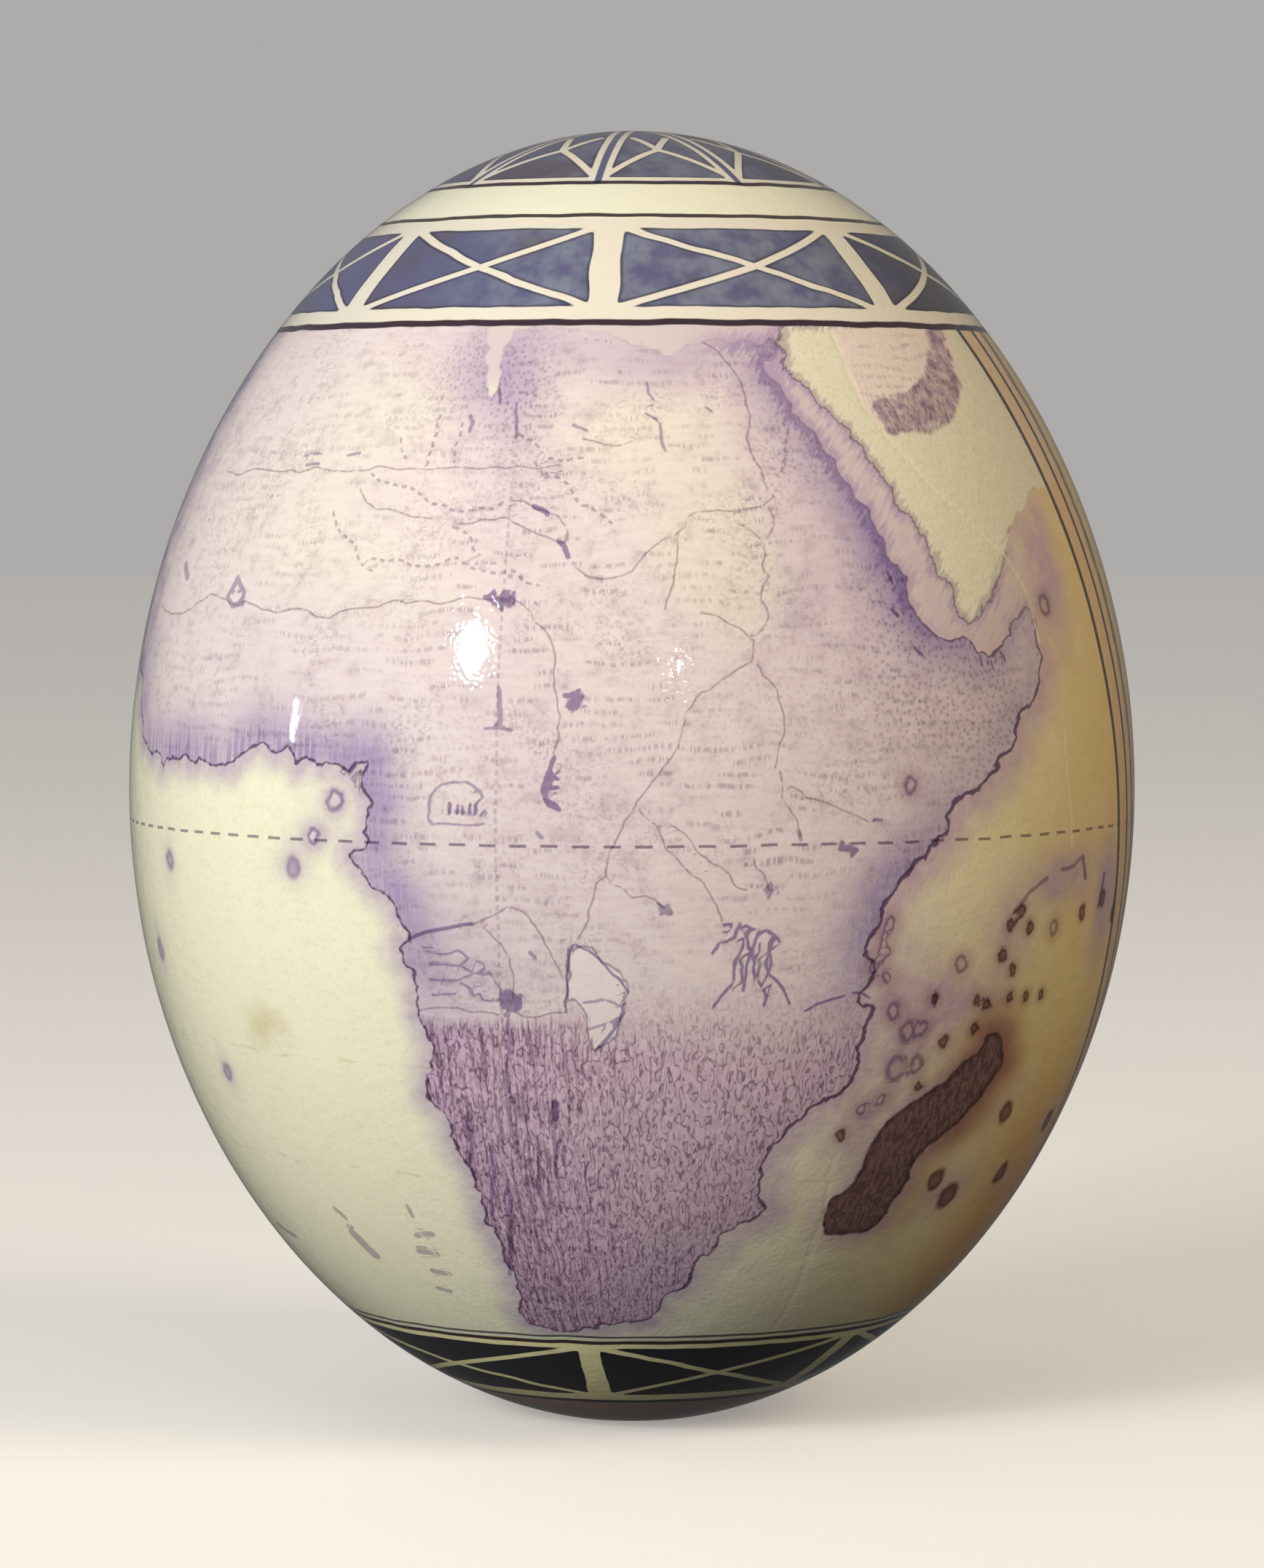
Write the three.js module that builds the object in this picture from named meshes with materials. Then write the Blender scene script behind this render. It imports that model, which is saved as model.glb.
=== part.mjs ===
// An ostrich egg that stands upright on its blunt end, with its slightly more pointed end up.
// Millimetres, +Z up. The origin is the centre of the small flat that the egg rests on,
// and -Y is the side that faces the viewer.
import * as THREE from "three";

// Driving dimensions
const WIDTH = 124; // widest diameter
const FULL_HEIGHT = 159.3; // end to end, before the rest face is sanded into the blunt end
const REST_RADIUS = 10; // radius of the sanded rest face

// How the outline departs from an ellipse: the first number narrows the top end against the
// bottom end, and the second narrows both ends alike.
const TOP_TAPER = -0.0162;
const END_TAPER = -0.0294;

// How finely the surface is faceted
const SIDES = 64;
const RINGS = 38;

const HALF_WIDTH = WIDTH / 2;
const HALF_HEIGHT = FULL_HEIGHT / 2;
const HALVINGS = 40; // steps of the search for the rest face's height, far past what it needs

// Radius of the egg at a level from -1, the blunt end's tip, to +1, the top's tip.
function radiusAt(level) {
  const ellipse = Math.sqrt(Math.max(0, 1 - level * level));
  return HALF_WIDTH * ellipse * (1 + TOP_TAPER * level + END_TAPER * level * level);
}

// Level in the lower half at which the egg is as wide as the rest face.
function restLevel() {
  let narrow = -1;
  let wide = 0;
  for (let step = 0; step < HALVINGS; step += 1) {
    const middle = (narrow + wide) / 2;
    if (radiusAt(middle) < REST_RADIUS) {
      narrow = middle;
    } else {
      wide = middle;
    }
  }
  return wide;
}

// Half of the egg's outline as points (radius, height), from the middle of the rest face
// up to the top's tip. The rings are close together at the ends, where the egg turns fastest.
function outline() {
  const lowest = restLevel();
  const firstTurn = Math.acos(-lowest);
  const points = [new THREE.Vector2(0, 0)];
  for (let ring = 0; ring < RINGS; ring += 1) {
    const turn = firstTurn + ((Math.PI - firstTurn) * ring) / RINGS;
    const level = -Math.cos(turn);
    points.push(new THREE.Vector2(radiusAt(level), HALF_HEIGHT * (level - lowest)));
  }
  points.push(new THREE.Vector2(0, HALF_HEIGHT * (1 - lowest)));
  return points;
}

// The egg grew as one piece, so it is one solid. Its print, bands and lacquer are only colour.
function makeEgg() {
  const geometry = new THREE.LatheGeometry(outline(), SIDES);
  geometry.rotateX(Math.PI / 2);
  const lacqueredPaper = new THREE.MeshStandardMaterial({
    color: 0xd8cda8,
    roughness: 0.22,
    metalness: 0,
  });
  const egg = new THREE.Mesh(geometry, lacqueredPaper);
  egg.name = "egg";
  return egg;
}

const ostrichEgg = new THREE.Group();
ostrichEgg.add(makeEgg());

export default ostrichEgg;
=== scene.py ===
# %% [markdown]
# # An ostrich egg with a printed map
# The real object is an emptied ostrich egg that stands on its blunt end. Printed paper is pasted round
# it, bands with a lattice pattern hide the paper's ends, and a thick gloss lacquer covers everything.
# The egg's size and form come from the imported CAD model, which is loaded first and never changed.

# %% The frame
import functools
import math

import bpy
import numpy as np
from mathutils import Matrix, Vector
from mathutils.kdtree import KDTree


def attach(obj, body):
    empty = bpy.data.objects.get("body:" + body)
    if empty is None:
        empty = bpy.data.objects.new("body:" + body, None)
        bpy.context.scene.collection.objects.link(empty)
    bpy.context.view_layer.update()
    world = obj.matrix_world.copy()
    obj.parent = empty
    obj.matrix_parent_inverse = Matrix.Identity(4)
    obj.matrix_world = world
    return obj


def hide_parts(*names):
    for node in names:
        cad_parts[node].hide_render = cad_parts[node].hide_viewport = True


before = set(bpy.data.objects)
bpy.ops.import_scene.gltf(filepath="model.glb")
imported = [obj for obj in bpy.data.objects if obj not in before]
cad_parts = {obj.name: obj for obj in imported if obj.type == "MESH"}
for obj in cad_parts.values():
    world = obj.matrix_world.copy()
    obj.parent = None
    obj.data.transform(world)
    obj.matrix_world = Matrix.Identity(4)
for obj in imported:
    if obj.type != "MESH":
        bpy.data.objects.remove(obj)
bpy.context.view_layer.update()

# %% [markdown]
# ## The egg's form
# A hen's egg or an ostrich egg is nearly an ellipse turned about its long axis. Two small numbers bend
# the ellipse: one makes the top end narrower than the blunt end, the other narrows both ends alike.
# A level runs from -1 at the blunt tip to +1 at the top tip. Everything on the surface is placed by its
# azimuth, which is 0 at the front, and by its run, the millimetres along the surface above mid-height.

# %% Sizes and the outline formula
MM = 0.001
HALF_WIDTH = 62.0
HALF_HEIGHT = 79.65
TOP_TAPER = -0.0162
END_TAPER = -0.0294
REST_RADIUS = 10.0


def radius_at(level):
    """The egg's radius in millimetres at a level, or at an array of levels."""
    ellipse = np.sqrt(np.clip(1 - np.square(level), 0, None))
    return HALF_WIDTH * ellipse * (1 + TOP_TAPER * level + END_TAPER * np.square(level))


fine_levels = -np.cos(np.linspace(0, math.pi, 4001))
fine_radii = radius_at(fine_levels)
fine_heights = HALF_HEIGHT * fine_levels
fine_runs = np.concatenate([[0], np.cumsum(np.hypot(np.diff(fine_radii), np.diff(fine_heights)))])
fine_runs -= np.interp(0, fine_heights, fine_runs)
REST_LEVEL = float(np.interp(REST_RADIUS, fine_radii[:1000], fine_levels[:1000]))
MIDDLE_Z = -HALF_HEIGHT * REST_LEVEL


def run_at(height):
    """Millimetres along the surface above mid-height, for heights above mid-height."""
    return np.interp(height, fine_heights, fine_runs)


print("rest face at level", round(REST_LEVEL, 4), "and mid-height at", round(MIDDLE_Z, 2), "mm")
print("full height", round(HALF_HEIGHT * (1 - REST_LEVEL), 2), "mm")

# %% [markdown]
# ## Writing nodes as sums
# Node trees are hard to read as long lists of links. A small class wraps a socket, so that a Python
# expression such as `1 - mask * 0.5` adds the Math nodes by itself. All other nodes come from one method
# of a second class, which takes the node's type, its settings, and what its sockets get.


# %% A socket that can be added and multiplied
class Value:
    """A socket that carries a number. Python's operators on it add Math nodes."""

    def __init__(self, graph, socket):
        self.graph = graph
        self.socket = socket

    def math(self, operation, *others):
        sockets = dict(enumerate((self, *others)))
        return self.graph.node("ShaderNodeMath", {"operation": operation}, sockets)

    def _flipped(self, operation, other):
        return self.graph.node("ShaderNodeMath", {"operation": operation}, {0: other, 1: self})

    def __add__(self, other):
        return self.math("ADD", other)

    def __sub__(self, other):
        return self.math("SUBTRACT", other)

    def __mul__(self, other):
        return self.math("MULTIPLY", other)

    def __truediv__(self, other):
        return self.math("DIVIDE", other)

    def __pow__(self, other):
        return self.math("POWER", other)

    def __gt__(self, other):
        return self.math("GREATER_THAN", other)

    def __lt__(self, other):
        return self.math("LESS_THAN", other)

    def __rsub__(self, other):
        return self._flipped("SUBTRACT", other)

    def __rtruediv__(self, other):
        return self._flipped("DIVIDE", other)

    __radd__ = __add__
    __rmul__ = __mul__

    def __neg__(self):
        return self * -1

    def __abs__(self):
        return self.math("ABSOLUTE")

    def least(self, other):
        return self.math("MINIMUM", other)

    def most(self, other):
        return self.math("MAXIMUM", other)

    def ramp(self, start, end):
        """0 at start and 1 at end, with a smooth rise between them. start may be the larger one."""
        settings = {"interpolation_type": "SMOOTHSTEP"}
        sockets = {"Value": self, "From Min": start, "From Max": end}
        return self.graph.node("ShaderNodeMapRange", settings, sockets)


class Graph:
    """Adds nodes to one tree, and links them."""

    def __init__(self, tree):
        self.tree = tree

    def node(self, kind, settings=None, sockets=None, out=0):
        made = self.tree.nodes.new(kind)
        for name, setting in (settings or {}).items():
            setattr(made, name, setting)
        for name, given in (sockets or {}).items():
            if isinstance(given, Value):
                self.tree.links.new(given.socket, made.inputs[name])
            else:
                made.inputs[name].default_value = given
        return Value(self, made.outputs[out])


print("node helpers ready")

# %% [markdown]
# ## The surface by Geometry Nodes
# The egg's form follows a rule, so a node tree makes it: a flat grid is rolled up, with its columns
# going round and its rows going up. The columns stand closer at the front, where the map's fine lines
# are, and the rows closer at mid-height. The first row closes the small flat that the egg rests on.
# A slow noise makes the shell uneven by a tenth of a millimetre, as a grown thing is. More slow noises are
# stored on the mesh under names, where the material reads them without working them out again.

# %% The tree that rolls a grid into an egg
COLUMNS = 400
ROWS = 220
FRONT_SHARE = 0.75
MIDDLE_SHARE = 0.8
UNEVENNESS = 0.004
SLOW_NOISES = {"drift": (9.0, 2.0), "coarse": (3.2, 3.0), "tremble": (5.0, 1.0), "tide": (16.0, 2.0)}

tree = bpy.data.node_groups.new("egg surface", "GeometryNodeTree")
TREE_INPUTS = {
    "Columns": ("NodeSocketInt", COLUMNS),
    "Rows": ("NodeSocketInt", ROWS),
    "Half Width": ("NodeSocketFloat", HALF_WIDTH * MM),
    "Half Height": ("NodeSocketFloat", HALF_HEIGHT * MM),
    "Top Taper": ("NodeSocketFloat", TOP_TAPER),
    "End Taper": ("NodeSocketFloat", END_TAPER),
    "Rest Level": ("NodeSocketFloat", REST_LEVEL),
    "Front Share": ("NodeSocketFloat", FRONT_SHARE),
    "Middle Share": ("NodeSocketFloat", MIDDLE_SHARE),
    "Unevenness": ("NodeSocketFloat", UNEVENNESS),
    "Material": ("NodeSocketMaterial", None),
}
for name, (kind, _) in TREE_INPUTS.items():
    tree.interface.new_socket(name, in_out="INPUT", socket_type=kind)
tree.interface.new_socket("Geometry", in_out="OUTPUT", socket_type="NodeSocketGeometry")

g = Graph(tree)
given_node = tree.nodes.new("NodeGroupInput")
given = {name: Value(g, given_node.outputs[name]) for name in TREE_INPUTS}


def crowded(place, share):
    """Bends -1 to 1 onto itself, with its points closer together near 0 when share is under 1."""
    return place * share + place * place * place * (1 - share)


grid = g.node(
    "GeometryNodeMeshGrid",
    sockets={"Size X": 1.0, "Size Y": 1.0, "Vertices X": given["Columns"] + 1, "Vertices Y": given["Rows"] + 1},
)
place = g.node("GeometryNodeInputPosition")
across = g.node("ShaderNodeSeparateXYZ", sockets={0: place}, out=0) * 2
up = g.node("ShaderNodeSeparateXYZ", sockets={0: place}, out=1) + 0.5
azimuth = crowded(across, given["Front Share"]) * math.pi
first_row = 1 / given["Rows"]
rise = ((up - first_row) / (1 - first_row)).most(0)
rise = (crowded(rise * 2 - 1, given["Middle Share"]) + 1) / 2
first_turn = (-given["Rest Level"]).math("ARCCOSINE")
level = -(first_turn + (math.pi - first_turn) * rise).math("COSINE")
ellipse = (1 - level * level).most(0).math("SQRT")
taper = 1 + given["Top Taper"] * level + given["End Taper"] * level * level
heading = g.node(
    "ShaderNodeCombineXYZ",
    sockets={"X": azimuth.math("SINE") * ellipse, "Y": azimuth.math("COSINE") * ellipse, "Z": level},
)
bumps = g.node("ShaderNodeTexNoise", sockets={"Vector": heading, "Scale": 3.1, "Detail": 2.0})
radius = given["Half Width"] * ellipse * taper * (up > first_row / 2)
radius = radius * (1 + given["Unevenness"] * (bumps - 0.5))
placed = g.node(
    "ShaderNodeCombineXYZ",
    sockets={
        "X": radius * azimuth.math("SINE"),
        "Y": -(radius * azimuth.math("COSINE")),
        "Z": given["Half Height"] * (level - given["Rest Level"]),
    },
)
rolled = g.node("GeometryNodeSetPosition", sockets={"Geometry": grid, "Position": placed})
closed = g.node("GeometryNodeMergeByDistance", sockets={"Geometry": rolled, "Distance": 2e-6})
carried = closed
for name, (size, detail) in SLOW_NOISES.items():
    noise = g.node("ShaderNodeTexNoise", sockets={"Vector": place, "Scale": 1 / (size * MM), "Detail": detail})
    carried = g.node(
        "GeometryNodeStoreNamedAttribute",
        {"data_type": "FLOAT", "domain": "POINT"},
        {"Geometry": carried, "Name": name, "Value": noise - 0.5},
    )
real = g.node("GeometryNodeRealizeInstances", sockets={"Geometry": carried})
dressed = g.node("GeometryNodeSetMaterial", sockets={"Geometry": real, "Material": given["Material"]})
tree.links.new(dressed.socket, tree.nodes.new("NodeGroupOutput").inputs[0])
print("egg surface tree:", len(tree.nodes), "nodes")

# %% [markdown]
# The modifier's inputs are set by the sockets' identifiers. The evaluated result is then copied into a
# plain mesh, and the modifier goes. The rim of the rest face stays sharp, and all else is smooth.

# %% The plain mesh
RIM_ANGLE = 6.0

print_material = bpy.data.materials.new("lacquered_print")
print_material.use_nodes = True
egg = bpy.data.objects.new("printed_egg", bpy.data.meshes.new("printed_egg"))
bpy.context.scene.collection.objects.link(egg)
roller = egg.modifiers.new("egg surface", "NODES")
roller.node_group = tree
for socket in tree.interface.items_tree:
    if socket.in_out == "INPUT" and socket.name != "Material":
        roller[socket.identifier] = TREE_INPUTS[socket.name][1]
    elif socket.in_out == "INPUT":
        roller[socket.identifier] = print_material
evaluated = egg.evaluated_get(bpy.context.evaluated_depsgraph_get())
mesh = bpy.data.meshes.new_from_object(evaluated)
egg.modifiers.remove(roller)
egg.data = mesh
mesh.name = "printed_egg"
mesh.shade_smooth()
mesh.set_sharp_from_angle(angle=math.radians(RIM_ANGLE))
triangles = sum(len(face.vertices) - 2 for face in mesh.polygons)
print("egg mesh:", len(mesh.vertices), "vertices and", triangles, "triangles")

# %% [markdown]
# ## Where every point of the surface is
# The print is drawn on the surface, so each vertex gets its azimuth and run. The map's coasts and rivers
# are lists of places read from the front, in millimetres right of the axis and above mid-height.
# `onto_egg` follows the line of sight from the viewing point through such a place to the surface.

# %% Vertex places and the line of sight
VIEW_DISTANCE = 701.6
VIEW_HEIGHT = 37.1

corners = np.empty(3 * len(mesh.vertices))
mesh.vertices.foreach_get("co", corners)
corners = corners.reshape(-1, 3) / MM
vertex_azimuth = np.degrees(np.arctan2(corners[:, 0], -corners[:, 1]))
vertex_height = corners[:, 2] - MIDDLE_Z
vertex_radius = np.maximum(radius_at(vertex_height / HALF_HEIGHT), 1.0)
vertex_run = run_at(vertex_height)


def onto_egg(places):
    """Carries (right, up) places in the axis's upright plane onto the surface, as (azimuth, run)."""
    shares = np.linspace(0.88, 1.02, 2801)
    found = []
    for right, up in places:
        ray = np.outer(shares, (right, VIEW_DISTANCE, up - VIEW_HEIGHT)) + (0, -VIEW_DISTANCE, VIEW_HEIGHT)
        outside = np.hypot(ray[:, 0], ray[:, 1]) - radius_at(ray[:, 2] / HALF_HEIGHT)
        hit = int(np.argmax(outside < 0)) if (outside < 0).any() else int(np.argmin(outside))
        found.append((math.degrees(math.atan2(ray[hit, 0], -ray[hit, 1])), float(run_at(ray[hit, 2]))))
    return found


def by_azimuth(places):
    """Turns (azimuth, height) places, for what lies past the edge seen from the front, into (azimuth, run)."""
    return [(azimuth, float(run_at(height))) for azimuth, height in places]


print("surface runs from", round(vertex_run.min(), 1), "to", round(vertex_run.max(), 1), "mm")

# %% [markdown]
# ## Drawing on the surface
# A line thinner than the mesh's spacing can't be painted on vertices. What can be stored there is how far
# away the line is: between two vertices that distance changes evenly, so the shader finds the line's
# exact place. For a coast it is a signed distance, above 0 on land. For a river it is the step to the
# river's nearest point, sideways and upwards, beside the plain distance as a guard far from the line.

# %% Distances to hand-drawn lines
LINE_STEP = 0.08


def roughened(path, step, amount, seed, closed=True):
    """Splits a path's stretches until they are under step mm long, and moves each new point sideways."""
    random = np.random.default_rng(seed)
    points = [np.array(point, float) for point in path]
    if closed:
        points.append(points[0])
    while True:
        longer = []
        split = False
        for start, end in zip(points, points[1:]):
            scale = math.radians(1) * float(np.interp(start[1], fine_runs, fine_radii))
            stretch = (end - start) * (scale, 1)
            length = float(np.hypot(*stretch))
            longer.append(start)
            if length >= step:
                shift = random.normal(0, amount) * np.array([-stretch[1] / scale, stretch[0]])
                longer.append((start + end) / 2 + shift)
                split = True
        longer.append(points[-1])
        points = longer
        if not split:
            return np.array(points)


def on_surface(azimuth, run):
    """The place in space of an azimuth and a run, each a number or an array."""
    ring = np.interp(run, fine_runs, fine_radii)
    turn = np.radians(azimuth)
    return np.stack([ring * np.sin(turn), -ring * np.cos(turn), np.interp(run, fine_runs, fine_heights)], -1)


vertex_place = on_surface(vertex_azimuth, vertex_run)


def nearest(paths):
    """For each vertex, the nearest point of several paths: step, distance, length along, and which path."""
    dense = []
    for number, path in enumerate(paths):
        path = np.array(path)
        lengths = np.linalg.norm(np.diff(on_surface(path[:, 0], path[:, 1]), axis=0), axis=1)
        travelled = np.concatenate([[0], np.cumsum(lengths)])
        along = np.linspace(0, travelled[-1], max(2, round(travelled[-1] / LINE_STEP)))
        azimuth = np.interp(along, travelled, path[:, 0])
        run = np.interp(along, travelled, path[:, 1])
        dense.append(np.stack([azimuth, run, along, np.full(len(along), number)], 1))
    dense = np.concatenate(dense)
    search = KDTree(len(dense))
    for i, place in enumerate(on_surface(dense[:, 0], dense[:, 1])):
        search.insert(place, i)
    search.balance()
    azimuth, run, along, which = dense[[search.find(place)[1] for place in vertex_place]].T
    step_x = ((azimuth - vertex_azimuth + 180) % 360 - 180) * np.radians(1) * vertex_radius
    step_y = run - vertex_run
    return step_x, step_y, np.hypot(step_x, step_y), along, which.astype(int)


def is_inside(path):
    """Which vertices lie inside a closed path."""
    inside = np.zeros(len(vertex_run), bool)
    for start, end in zip(path[:-1], path[1:]):
        crosses = (start[1] > vertex_run) != (end[1] > vertex_run)
        rise = end[1] - start[1] if end[1] != start[1] else 1e-9
        at = start[0] + (vertex_run - start[1]) / rise * (end[0] - start[0])
        inside ^= crosses & (vertex_azimuth < at)
    return inside


def store(name, values):
    """Puts numbers or triples on the egg's vertices, for the material to read."""
    values = np.asarray(values, float)
    kind, key = ("FLOAT", "value") if values.ndim == 1 else ("FLOAT_VECTOR", "vector")
    mesh.attributes.new(name, kind, "POINT").data.foreach_set(key, values.ravel())


def store_region(name, paths):
    """Stores the signed distance to the edge of some closed paths, above 0 inside them."""
    inside = np.zeros(len(vertex_run), bool)
    for path in paths:
        inside |= is_inside(path)
    distance = nearest(paths)[2]
    store(name, np.where(inside, distance, -distance))
    print(name, "covers", int(inside.sum()), "vertices with", sum(len(path) for path in paths), "points")


def store_lines(name, paths, widths):
    """Stores the step to the nearest line with that line's width, and apart from them the plain distance."""
    x, y, distance, along, which = nearest(paths)
    store(name, np.stack([x, y, np.array(widths)[which]], 1))
    store(name + "_away", distance)
    store(name + "_along", along)
    print(name, "has", len(paths), "lines")
    return which


# %% [markdown]
# ## The coasts
# An old map's outline of the continent, with its capes, bays and river mouths. Each list follows one
# stretch of coast as the eye does from the front, and a little roughness between the listed points gives
# the engraver's ragged line. What lies past the egg's edge is listed by azimuth and height.

# %% The continent and its big island
WEST_COAST = [
    (-60.5, 12), (-60.5, 6), (-59.5, 3), (-58, 1.5), (-55.5, 3), (-53.5, 2.5), (-52, 1.5), (-47.5, 3.5),
    (-45.5, 4.5), (-42.5, 4), (-42, 3), (-41.5, 1.5), (-38.5, 1.5), (-36, 1.5), (-32.5, 2), (-33.5, -1),
    (-33, -5.5), (-32.5, -8), (-34, -9), (-35, -9.5), (-34, -11), (-32.5, -13), (-30.5, -14.5),
    (-29, -16.5), (-28.5, -18.5), (-27.5, -20.5), (-27, -25), (-26.5, -28.5), (-25.5, -31.5),
    (-24.5, -34.5), (-24.5, -36.5), (-25.5, -37), (-25.5, -38.5), (-24, -41), (-22.5, -44.5),
    (-21.5, -46.5), (-19.5, -51), (-18.5, -53), (-17, -56), (-16, -58.5), (-15.5, -60.5), (-14.5, -63),
    (-14, -65.5),
]
SOUTH_COAST = [(-13.5, -67.5), (-11, -68.5), (-7, -69), (-2, -68), (2, -67.5), (3.5, -66), (5.5, -64)]
EAST_COAST = [
    (7, -63), (7.5, -61), (8.5, -59.5), (10.5, -58.5), (10.5, -57), (13, -56), (15, -55), (16.5, -53),
    (16, -50.5), (16, -48.5), (17, -46.5), (18.5, -45), (21.5, -42), (23.5, -40.5), (25.5, -39.5),
    (27, -38), (28, -36), (28, -34.5), (29, -32), (29, -30), (30, -28.5), (28, -27), (30, -24.5),
    (29.5, -22.5), (29.5, -20), (31, -17), (31.5, -15), (33, -13), (35.5, -10), (37, -8.5), (39, -4.5),
    (40, -3), (43.5, -0.5), (45.5, 1), (47, 3.5), (47.5, 6.5), (48.5, 8.5), (50, 10.5), (50.5, 13),
    (50, 17), (49, 21),
]
GULF_COAST = [(47.5, 19.5), (46.5, 17.5), (45.5, 16), (44.5, 15), (43.5, 15.5), (42.5, 15.5), (41.8, 17.2)]
RED_SEA_COAST = [
    (41, 17.5), (39.5, 17), (37.5, 17.5), (36, 19), (35, 20.5), (34, 22.5), (34, 25), (32.5, 26.5),
    (31.2, 28), (31.2, 29.5), (29.5, 32), (28.5, 34), (27, 36), (25.5, 37.5), (25, 39.5), (23.5, 40.5),
    (23, 42), (20.5, 44.5), (19.5, 46.5), (18.5, 48), (17, 49.5), (16.2, 51.5), (18.2, 53.2), (17.5, 54.5),
]
NORTH_COAST = [
    (16, 53.5), (9.5, 54), (8.5, 54), (7, 53.5), (1, 53.7), (-4.5, 55), (-10, 56.5), (-15.4, 56), (-15.8, 53),
    (-16.3, 50.5), (-16.7, 47.6), (-17.8, 47.2), (-17.9, 50), (-17.5, 53), (-17.7, 56),
]
UNDER_THE_BAND = [(-30, 59), (-60, 59), (-80, 58), (-84, 52), (-86, 44), (-89, 36), (-91, 29), (-88, 22)]
BIG_ISLAND = [
    (46, -33), (45.5, -32), (44, -32), (43.5, -33.5), (40.5, -36), (37, -39), (34, -41), (31.5, -43),
    (29, -47.5), (27.5, -50.5), (25, -52), (24, -53.5), (23.5, -55.5), (24.5, -57), (26, -57), (29, -56.5),
    (31, -55), (32.5, -52.5), (35, -47.5), (37, -45.5), (39.5, -43.5), (43, -40), (46, -36),
]

continent = onto_egg(WEST_COAST + SOUTH_COAST + EAST_COAST + GULF_COAST + RED_SEA_COAST + NORTH_COAST)
continent += by_azimuth(UNDER_THE_BAND)
store_region("land", [roughened(continent, 1.0, 0.15, seed=4)])
store_region("isle", [roughened(onto_egg(BIG_ISLAND), 1.0, 0.1, seed=5)])

# %% [markdown]
# ## The neighbouring land, the lake and the gulf
# The land across the narrow sea has plain paper inside a fringed edge. The lake inside the continent is a
# pale patch with a scalloped rim. The gulf on the right is a band of darker hatching that bends twice.

# %% Smaller regions
NEIGHBOUR = [
    (17.8, 56), (18, 53.5), (19, 52), (18.5, 51), (20.5, 49), (23, 46), (24.5, 45), (27, 42), (29, 39.5),
    (30.5, 37.5), (32, 36), (32.5, 34), (34.5, 32), (36, 30), (37, 27.5), (38, 25), (40, 22.5),
    (39.8, 21.5), (40.2, 19.8), (41.5, 19), (43, 20), (44, 21.5), (44.5, 23.5), (45.5, 26.5), (46.5, 28),
    (46.5, 31), (47.5, 33), (48.5, 34), (49.5, 36), (52.3, 38.5), (51.5, 41.5), (49.5, 45), (47, 49),
    (44.5, 53), (42, 57),
]
LAKES = [
    [
        (-8, -27.5), (-8, -23.5), (-7.5, -21.5), (-6.5, -21), (-5, -21), (-4, -22.5), (-2, -23.5),
        (-1, -25), (-0.5, -26.5), (-1, -28), (-1.5, -30.5), (-2, -32), (-4, -33.5), (-5, -34),
        (-5.5, -32), (-5.5, -29.5), (-6.5, -28),
    ],
    [(-36.3, 1.3), (-33.6, 1.1), (-33.3, -2.2)],
]
GULF_BAND = [
    (38.4, 55.5), (39.4, 50.8), (40.9, 48.3), (40.3, 46.1), (38.8, 43.6), (35.3, 42.7), (31.5, 42.2),
    (29.5, 46.7), (32.2, 47.1), (35.3, 48.9), (36.2, 51.5), (35.9, 55.5),
]
PINK_BLOCK = [(24.6, 56), (26.8, 49.6), (29.6, 44.5), (31.5, 42.3), (38.8, 43.6), (40.9, 48.3), (38.6, 56)]

store_region("neighbour", [roughened(onto_egg(NEIGHBOUR), 1.3, 0.13, seed=6)])
store_region("lake", [roughened(onto_egg(lake), 1.0, 0.1, seed=7 + i) for i, lake in enumerate(LAKES)])
store_region("gulf", [roughened(onto_egg(GULF_BAND), 1.6, 0.08, seed=9)])
store_region("pink_block", [onto_egg(PINK_BLOCK + PINK_BLOCK[:1])])

# %% [markdown]
# ## Rivers, ridges and strokes
# Rivers are thin unbroken lines, and mountain ridges are chains of short dashes, so lines also store how
# far along each point is. Small dark pictures, knots and shading are made of short straight strokes.
# The paper was pasted on in pieces, whose edges show as seams.

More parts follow.
